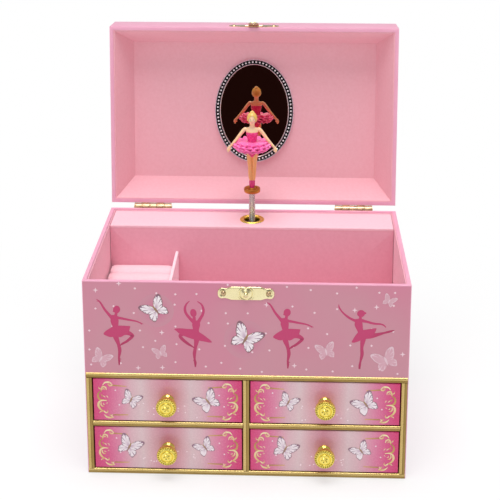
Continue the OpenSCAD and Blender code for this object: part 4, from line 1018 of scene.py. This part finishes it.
shoes = [limb([(side * 1.3, 0.9, 0.135 * span), (side * 1.15, 0.3, 0.09 * span),
               (side * 0.9, -0.3, 0.045 * span), (side * 0.6, -0.4, 0.012 * span),
               (side * 0.5, -0.3, -0.9)], [0.7, 1.5, 1.75, 1.35, 0.9], 1.1)
         for side in (-1, 1)]
arms = [limb([(side * 4.6, 0.3, 0.770 * span), (side * 6.6, 0.1, 0.762 * span),
              (side * 9.2, -0.3, 0.722 * span), (side * 13.6, -0.9, 0.638 * span),
              (side * 18.4, -1.7, 0.560 * span), (side * 20.0, -2.0, 0.538 * span)],
             [1.5, 1.75, 1.6, 1.45, 1.1, 0.95], 0.92) for side in (-1, 1)]
hands = [limb([(side * 19.2, -1.9, 0.548 * span), (side * 20.4, -2.1, 0.525 * span),
               (side * 21.0, -2.5, 0.500 * span),
               (side * 20.8, -2.9, 0.474 * span)], [0.95, 1.5, 1.3, 0.5], 0.6) for side in (-1, 1)]
thumbs = [limb([(side * 19.8, -2.5, 0.53 * span), (side * 19.3, -3.1, 0.51 * span),
                (side * 19.4, -3.3, 0.495 * span)], [0.5, 0.5, 0.35], count=16) for side in (-1, 1)]
# The legs, under the skirt, take a warmer and darker copy of the skin plastic: painted shade from the skirt.
shaded_leg_plastic = doll_plastic("skin plastic, painted shade under skirt", "#FBBB7A", "#FF8A40")
figure_skin = piece("dancer_skin", [bust, *arms, *hands, *thumbs, *map(second_finish, legs)],
                    [skin, shaded_leg_plastic], "figure", merge=0.002 * mm)
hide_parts("ballerina_figure")
bodice = piece("dancer_bodice", [torso, *shoes], [bodice_plastic], "figure", merge=0.002 * mm)

head_z, head_rx, head_ry, head_rz = 0.903 * span, 4.1, 4.6, 5.45


def head_point(lift, turn):
    """Point of the head: an egg (rx sin a sin b, -ry sin a cos b, rz cos a), narrowed below the cheeks."""
    narrow = 1 - 0.30 * np.clip(-np.cos(lift), 0, 1) ** 1.5
    x = head_rx * np.sin(lift) * np.sin(turn) * narrow
    y = -head_ry * np.sin(lift) * np.cos(turn) * (1 - 0.2 * np.clip(-np.cos(lift), 0, 1) ** 2)
    z = head_rz * np.cos(lift)
    return np.stack([x, y, z], -1)


def bump_at(lift, turn, at, size, height):
    """Round swelling of the given height at (lift, turn), with size as its width each way: h exp(-d^2)."""
    return height * np.exp(-((lift - at[0]) / size[0]) ** 2 - ((turn - at[1]) / size[1]) ** 2)


def doll_head():
    """Head grid with brows, eye hollows, nose, lips and chin raised, and a tone for each point."""
    lift, turn = np.meshgrid(np.linspace(0, math.pi, 110),
                             np.linspace(-math.pi, math.pi, 150, endpoint=False), indexing="ij")
    rise = bump_at(lift, turn, (1.72, 0), (0.16, 0.10), 0.50) + bump_at(lift, turn, (1.60, 0), (0.16, 0.07),
                                                                        0.30)
    rise = rise + bump_at(lift, turn, (2.02, 0), (0.05, 0.15), 0.22) + bump_at(lift, turn, (2.12, 0),
                                                                               (0.05, 0.12), 0.20)
    rise = rise + bump_at(lift, turn, (2.42, 0), (0.18, 0.3), 0.30)
    for side in (-1, 1):
        rise = rise + bump_at(lift, turn, (1.56, side * 0.36), (0.11, 0.16), -0.28)
        rise = rise + bump_at(lift, turn, (1.58, side * 0.37), (0.06, 0.10), 0.18)
        rise = rise + bump_at(lift, turn, (1.40, side * 0.36), (0.06, 0.22), 0.12)
        rise = rise + bump_at(lift, turn, (1.85, side * 0.55), (0.22, 0.25), 0.18)
        rise = rise + bump_at(lift, turn, (1.66, side * 1.55), (0.16, 0.10), 0.55)
    base = head_point(lift, turn)
    away = base / np.maximum(np.linalg.norm(base, axis=-1, keepdims=True), 1e-6)
    points = (base + away * rise[..., None]) * mm
    points = points + np.array([0, figure_y - 0.5 * mm, foot_z + head_z * mm])
    tone = np.tile(np.array(colour("#F9D3AE")), (*lift.shape, 1))

    def paint(at, size, code, power=2, strength=1.0):
        """Blends a colour in over an oval patch: weight exp(-(d^power))."""
        d = ((lift - at[0]) / size[0]) ** 2 + ((turn - at[1]) / size[1]) ** 2
        weight = (strength * np.exp(-d ** (power / 2)))[..., None]
        tone[:] = tone * (1 - weight) + np.array(colour(code)) * weight

    for side in (-1, 1):
        paint((1.88, side * 0.58), (0.16, 0.2), "#F7A79A", strength=0.55)
        paint((1.575, side * 0.36), (0.055, 0.12), "#FFF6EE", 4)
        paint((1.575, side * 0.35), (0.05, 0.055), "#5B4A3C", 6)
        paint((1.535, side * 0.37), (0.022, 0.14), "#6E4A34", 4, 0.85)
        paint((1.40, side * 0.36), (0.022, 0.17), "#B98550", 4, 0.7)
    paint((2.06, 0), (0.055, 0.15), "#DE5A72", 4, 0.9)
    shell = surface(points, close_cols=True)
    return shell, tone.reshape(-1, 4)


def hair_cap():
    """Hair over the head's top, back and sides, combed back in fine grooves, closed along the hairline."""
    s, turn = np.meshgrid(np.linspace(0, 1, 60), np.linspace(-math.pi, math.pi, 144, endpoint=False),
                          indexing="ij")
    front = np.exp(-(turn / 0.75) ** 4)
    sides = np.exp(-((np.abs(turn) - 1.45) / 0.35) ** 2)
    hairline = 2.15 - 1.22 * front - 0.45 * sides
    outside = np.clip(s / 0.9, 0, 1)
    lift = hairline * outside
    thick = 1.09 + 0.012 * np.cos(26 * turn) * np.sin(lift) + 0.03 * np.sin(lift) ** 2
    thick = np.where(s > 0.9, 0.96, thick)
    points = head_point(lift, turn) * thick[..., None] * mm
    return surface(points + np.array([0, figure_y - 0.5 * mm, foot_z + head_z * mm]), close_cols=True)


def hair_bun(r, height):
    """Twisted bun: a sphere with spiral grooves, r (1 + 0.06 cos(6 t + 5 a)), on the back of the crown."""
    a, t = np.meshgrid(np.linspace(0, math.pi, 32), np.linspace(0, 2 * math.pi, 64, endpoint=False),
                       indexing="ij")
    reach = r * (1 + 0.06 * np.cos(6 * t + 5 * a) * np.sin(a))
    points = np.stack([reach * np.sin(a) * np.cos(t), reach * np.sin(a) * np.sin(t),
                       0.85 * reach * np.cos(a)], -1) * mm
    return surface(points + np.array([0, figure_y + 1.2 * mm, foot_z + height * mm]), close_cols=True)


head_shell, head_tone = doll_head()
face_paint = doll_plastic("painted face", "#F9D3AE", "#FF9050", 0.32)
head_colour = add_node(face_paint, "ShaderNodeVertexColor")
head_colour.layer_name = "tone"
face_paint.node_tree.links.new(head_colour.outputs["Color"],
                               face_paint.node_tree.nodes["Principled BSDF"].inputs["Base Color"])
head = piece("dancer_head", [head_shell], [face_paint], "figure", merge=0.002 * mm, tones=head_tone)
hair = piece("dancer_hair", [hair_cap(), hair_bun(1.9, 0.975 * span)], [hair_plastic], "figure",
             merge=0.002 * mm, smooth=60)

tutu_low, tutu_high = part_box("tutu")
tutu_r = (tutu_high[0] - tutu_low[0]) / 2 / mm


def ruffle(r_in, r_out, z_in, z_out, folds, phase, wave, thick):
    """One layer of the skirt: from r_in to r_out its height eases from z_in to z_out; rounded lobes, folds in
    number, lift and widen the rim; it goes out along the top, over the rim and back underneath."""
    s = np.concatenate([np.linspace(0, 1, 16), np.linspace(1, 0, 16)])[:, None]
    under = np.concatenate([np.zeros(16), np.ones(16)])[:, None]
    t = np.linspace(0, 2 * math.pi, 288, endpoint=False)[None]
    swing = t + 0.05 * np.sin(3 * t + phase)
    lobe = np.abs(np.sin(folds * swing / 2 + phase)) ** 0.8
    r = r_in + (r_out - r_in) * s * (1 - 0.13 * (1 - lobe) * s ** 2)
    body = thick * np.sqrt(np.clip(1 - (s * 1.02 - 0.04) ** 8, 0.02, 1)) * (0.5 + 0.5 * s)
    z = z_in + (z_out - z_in) * s ** 1.6 + wave * s ** 1.4 * (lobe - 0.45) - under * body
    points = np.stack([r * np.cos(t) * mm, figure_y + r * np.sin(t) * mm, foot_z + z * mm + 0 * t], -1)
    return surface(points, close_rows=True, close_cols=True)


skirt_z = 0.605 * span
skirt_layers = [ruffle(3.4, tutu_r - 3.0, skirt_z, skirt_z + 0.1, 13, 0.4, 1.8, 2.2),
                ruffle(3.4, tutu_r - 0.6, skirt_z - 1.0, skirt_z - 1.9, 15, 1.7, 1.8, 2.2),
                ruffle(3.4, tutu_r - 0.2, skirt_z - 2.2, skirt_z - 3.9, 16, 0.2, 1.6, 2.2),
                ruffle(3.4, tutu_r - 2.6, skirt_z - 3.4, skirt_z - 6.2, 15, 2.4, 1.4, 2.2)]
skirt_piece = piece("dancer_skirt", skirt_layers, [skirt_plastic], "figure", merge=0, smooth=60)
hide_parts("tutu")


# ---------- Lid ----------
# A shallow board lid covered in the same pink paper, lined with flocked card that slopes in to a flat floor.
# It is hinged at the back, and its parts are drawn shut and turned open about the hinge pins.
lid_joint = next(j for j in frame["joints"] if j["name"] == "lid_hinge")
hinge_at = np.array(lid_joint["pos_m"])
open_by = -math.radians(lid_joint["range_deg"][1])


def opened(shell):
    """Turns a shell drawn on the shut lid about the hinge pins: y cos a - z sin a, y sin a + z cos a."""
    points = shell[0] - hinge_at
    c, s = math.cos(open_by), math.sin(open_by)
    y = points[:, 1] * c - points[:, 2] * s
    z = points[:, 1] * s + points[:, 2] * c
    return (np.column_stack([points[:, 0], y, z]) + hinge_at, *shell[1:])


lid_gap, lid_h = 0.3 * mm, 36 * mm
lid_foot, lid_top = rim_z + lid_gap, rim_z + lid_h
lid_edge = 1.3 * mm
lid_rows = ([(board_t + proud, lid_foot + 2 * mm)]
            + quarter((board_t + proud - edge_r, lid_foot - proud + edge_r), edge_r, 0)
            + quarter((edge_r, lid_foot - proud + edge_r), edge_r, -90)
            + quarter((lid_edge, lid_top + proud - lid_edge), lid_edge, 180)
            + [(half_d - 0.05 * mm, lid_top + proud)])
lid_skin = walls(lid_rows, *outer, corner_r)
lid_paper = piece("lid_paper", [opened(surface(lid_skin, close_cols=True))], [paper], "lid", merge=0.03 * mm)
dress(paper, "lid_panel", "lid_left_wall", "lid_right_wall", "lid_front_wall", "lid_back_wall")
lid_flock = flock("lid flock", ["#EDB2BC", "#F2BCC6"])
dress(lid_flock, "lid_lining")
soften(1.2 * mm, "lid_lining")


# ---------- Mirror and its frame ----------
# An oval silvered glass in a moulded frame: a bright outer bead, a black channel with a row of small silver
# pearls, and a bright inner lip. The frame is glued to the lid's lining and holds the glass.
silver = grain(shader("bright silver plate", "#E9E4EC", 0.28, 0.8), 1500, 0.002 * mm, polish=(0.24, 0.34))
black_gloss = grain(shader("black gloss plastic", "#08080A", 0.2, Coat_Weight=0.5, Coat_Roughness=0.08), 900,
                    0.006 * mm)
# The glass is tinted warm and dim: painted shade, which darkens the figure's back as seen in it.
glass = grain(shader("silvered glass", "#DAB8A4", 0.015, 1.0), 40, 0.002 * mm)
dress(glass, "mirror")

oval_low, oval_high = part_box("mirror_frame")
oval_half_x = (oval_high[0] - oval_low[0]) / 2
lining_z = rim_z + 30 * mm
oval_half_y = 97.5 / 2 * mm
oval_x = (oval_low[0] + oval_high[0]) / 2
oval_band = 5.6 * mm
frame_face = lining_z - 4 * mm


def oval_ring(rows, steps=160):
    """A closed section of (inset, height) carried round an ellipse: ((A - i) cos t, (B - i) sin t)."""
    t = np.linspace(0, 2 * math.pi, steps, endpoint=False)[None]
    inset, z = np.array(rows, float).T[:, :, None]
    points = np.stack([oval_x + (oval_half_x - inset) * np.cos(t), (oval_half_y - inset) * np.sin(t),
                       z + 0 * t], -1)
    return surface(points, close_rows=True, close_cols=True)


def half_round(i0, i1, foot, height, steps=9):
    """Section of a half-round bead between insets i0 and i1, from its foot up by height towards the front."""
    a = np.linspace(0, math.pi, steps)
    return [((i0 + i1) / 2 - (i1 - i0) / 2 * math.cos(t), foot - height * math.sin(t)) for t in a]


outer_bead = oval_ring(half_round(0, 1.25 * mm, lining_z, lining_z - frame_face))
channel = oval_ring([(0.8 * mm, lining_z), (0.8 * mm, frame_face + 1.5 * mm),
                     (4.7 * mm, frame_face + 1.5 * mm), (4.7 * mm, lining_z)])
inner_lip = oval_ring(half_round(4.3 * mm, oval_band, lining_z, lining_z - frame_face - 0.4 * mm))


def pearls(count, r, inset):
    """Small domes at even steps of arc round the channel: centre + r (sin a cos b, sin a sin b, -cos a)."""
    t = np.linspace(0, 2 * math.pi, 2000)
    x, y = (oval_half_x - inset) * np.cos(t), (oval_half_y - inset) * np.sin(t)
    along = np.concatenate([[0], np.cumsum(np.hypot(np.diff(x), np.diff(y)))])
    at = np.interp(np.arange(count) * along[-1] / count, along, t)
    a, b = np.meshgrid(np.linspace(0, math.pi / 2 + 0.5, 5), np.linspace(0, 2 * math.pi, 10, endpoint=False),
                       indexing="ij")
    dome = np.stack([r * np.sin(a) * np.cos(b), r * np.sin(a) * np.sin(b), -r * np.cos(a)], -1)
    shells = []
    for angle in at:
        middle = (oval_x + (oval_half_x - inset) * math.cos(angle), (oval_half_y - inset) * math.sin(angle),
                  frame_face + 1.35 * mm)
        shells.append(surface(dome + np.array(middle), close_cols=True))
    return shells


pearl_row = pearls(78, 0.95 * mm, 2.75 * mm)
pearl_silver = grain(shader("pearled silver", "#F6F5F6", 0.34, 0.75), 1500, 0.004 * mm, polish=(0.3, 0.4))
oval_shells = [opened(s) for s in (outer_bead, inner_lip)] + [second_finish(opened(s)) for s in pearl_row]
oval_frame = piece("mirror_frame_silver", oval_shells, [silver, pearl_silver], "lid", merge=0.002 * mm,
                   smooth=50)
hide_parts("mirror_frame")
oval_channel = piece("mirror_frame_channel", [opened(channel)], [black_gloss], "lid", merge=0.002 * mm)


# ---------- Hinges ----------
# Two brass butt hinges join the lid and the back board. Their leaves are held by small brads, and the steel
# pins run through the knuckles.
hinge_brass = grain(mottle(shader("pale hinge brass", "#C9AA84", 0.3, 0.9), ["#C2A27C", "#D3B693"], 120),
                    1400, 0.008 * mm, polish=(0.2, 0.34))
dress(hinge_brass, "hinge_lower_leaves", "hinge_upper_leaves", "hinge_pins", "case_brads", "lid_brads")
soften(0.15 * mm, "hinge_lower_leaves", "hinge_upper_leaves")


# ---------- Clasp ----------
# A pressed brass plate on the front with rounded ears, a raised middle, a dome and a ball. The lid carries a
# matching plate with a tongue whose hole snaps over the ball.
pale_brass = grain(mottle(shader("pale brass", "#EFE2B0", 0.22, 1.0), ["#EADBA4", "#F3E8BC"], 60), 1300,
                   0.003 * mm, polish=(0.16, 0.24))


def pressed_plate(centre_z, out_y, half_x, outline_half, relief):
    """Plate of (u, v) in [-1, 1]: x = u A, z = v h(x) with h the outline's half height, and y out by
    relief(x, z) at the face, easing to nothing at the edge; the back closes it flat."""
    u, v = np.meshgrid(np.linspace(-1, 1, 241), np.linspace(-1, 1, 81), indexing="ij")
    x = half_x * u
    h = outline_half(x)
    z = v * h
    edge = np.clip(1 - np.abs(v) ** 10, 0, 1) ** 0.4 * np.clip((1 - u ** 2) * 24, 0, 1) ** 0.5
    face = np.stack([x, out_y - relief(x, z) * edge, centre_z + z], -1)
    back = np.stack([x, out_y + 0 * x, centre_z + z], -1)
    return [surface(face), surface(back)]


clasp_low, clasp_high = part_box("clasp_plate")
clasp_z = (clasp_low[2] + clasp_high[2]) / 2
clasp_half = (clasp_high[0] - clasp_low[0]) / 2
ear_x = 18.4 * mm


def clasp_edge(x):
    """Half height of the plate along its length: a wide middle, shoulders, a neck and a rounded ear."""
    share = [0, 0.52, 0.66, 0.74, 0.80, 0.86, 0.92, 0.96, 0.99, 1.0]
    half_height = [5.6, 5.6, 4.5, 4.1, 4.3, 4.5, 4.1, 3.2, 1.7, 0.1]
    return np.interp(np.abs(x) / clasp_half, share, half_height) * mm


def clasp_relief(x, z):
    """Height of the pressing: a thin plate, a ring between two grooves, a dome, and a dish in each ear."""
    r = np.hypot(x, z) / mm
    ear = np.hypot(np.abs(x) - ear_x, z) / mm
    ring = 0.2 / (1 + np.exp((r - 6.0) / 0.1))
    grooves = 0.5 * np.exp(-((r - 4.9) / 0.4) ** 2) + 0.3 * np.exp(-((r - 6.5) / 0.3) ** 2)
    dome = 1.1 * np.clip((4.1 - r) / 1.9, 0, 1) ** 1.3
    dish = -0.55 * np.clip(1 - (ear / 2.6) ** 2, 0, 1) ** 0.5 + 0.12 * np.exp(-((ear - 2.9) / 0.35) ** 2)
    return (0.7 + ring - grooves + dome + dish) * mm


def ball(centre, r, flat=1.0):
    """Sphere on a grid of angles, flattened along Y by flat."""
    a, b = np.meshgrid(np.linspace(0, math.pi, 20), np.linspace(0, 2 * math.pi, 32, endpoint=False),
                       indexing="ij")
    points = np.stack([r * np.sin(a) * np.cos(b), -flat * r * np.cos(a), r * np.sin(a) * np.sin(b)], -1)
    return surface(points + np.array(centre), close_cols=True)


clasp_shells = pressed_plate(clasp_z, -half_d - proud, clasp_half, clasp_edge, clasp_relief)
clasp_shells.append(ball((0, clasp_low[1] + 1.7 * mm, clasp_z), 1.7 * mm))
for side in (-1, 1):
    clasp_shells.append(ball((side * ear_x, -half_d - 0.2 * mm, clasp_z), 1.2 * mm, 0.6))
clasp = piece("clasp", clasp_shells, [pale_brass], "case", smooth=40)
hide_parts("clasp_plate")
dress(pale_brass, "hasp_plate", "hasp_tongue")
soften(0.15 * mm, "hasp_plate", "hasp_tongue")


# ---------- Music movement ----------
# An eighteen-note clockwork under the step: nickelled bedplate, comb, screws and governor, and brass barrel,
# cylinder and wheels. The key's shaft comes out through the back board.
nickel = grain(mottle(shader("nickelled steel", "#C9C9CC", 0.3, 1.0), ["#BFBFC3", "#D4D4D6"], 150), 1400,
               0.01 * mm, stretch=(1, 1, 8), polish=(0.24, 0.38))
wheel_brass = grain(shader("turned brass", "#D9B45C", 0.26, 1.0), 1600, 0.01 * mm, stretch=(1, 1, 6),
                    polish=(0.2, 0.36))
dress(nickel, "movement_bedplate", "comb", "governor_bracket", "movement_screws", "spring_arbor",
      "winding_key", "mainspring", "figure_spindle", "governor_fan")
dress(wheel_brass, "spring_barrel", "pin_cylinder", "cylinder_gear", "governor_gear")
soften(0.2 * mm, "winding_key")
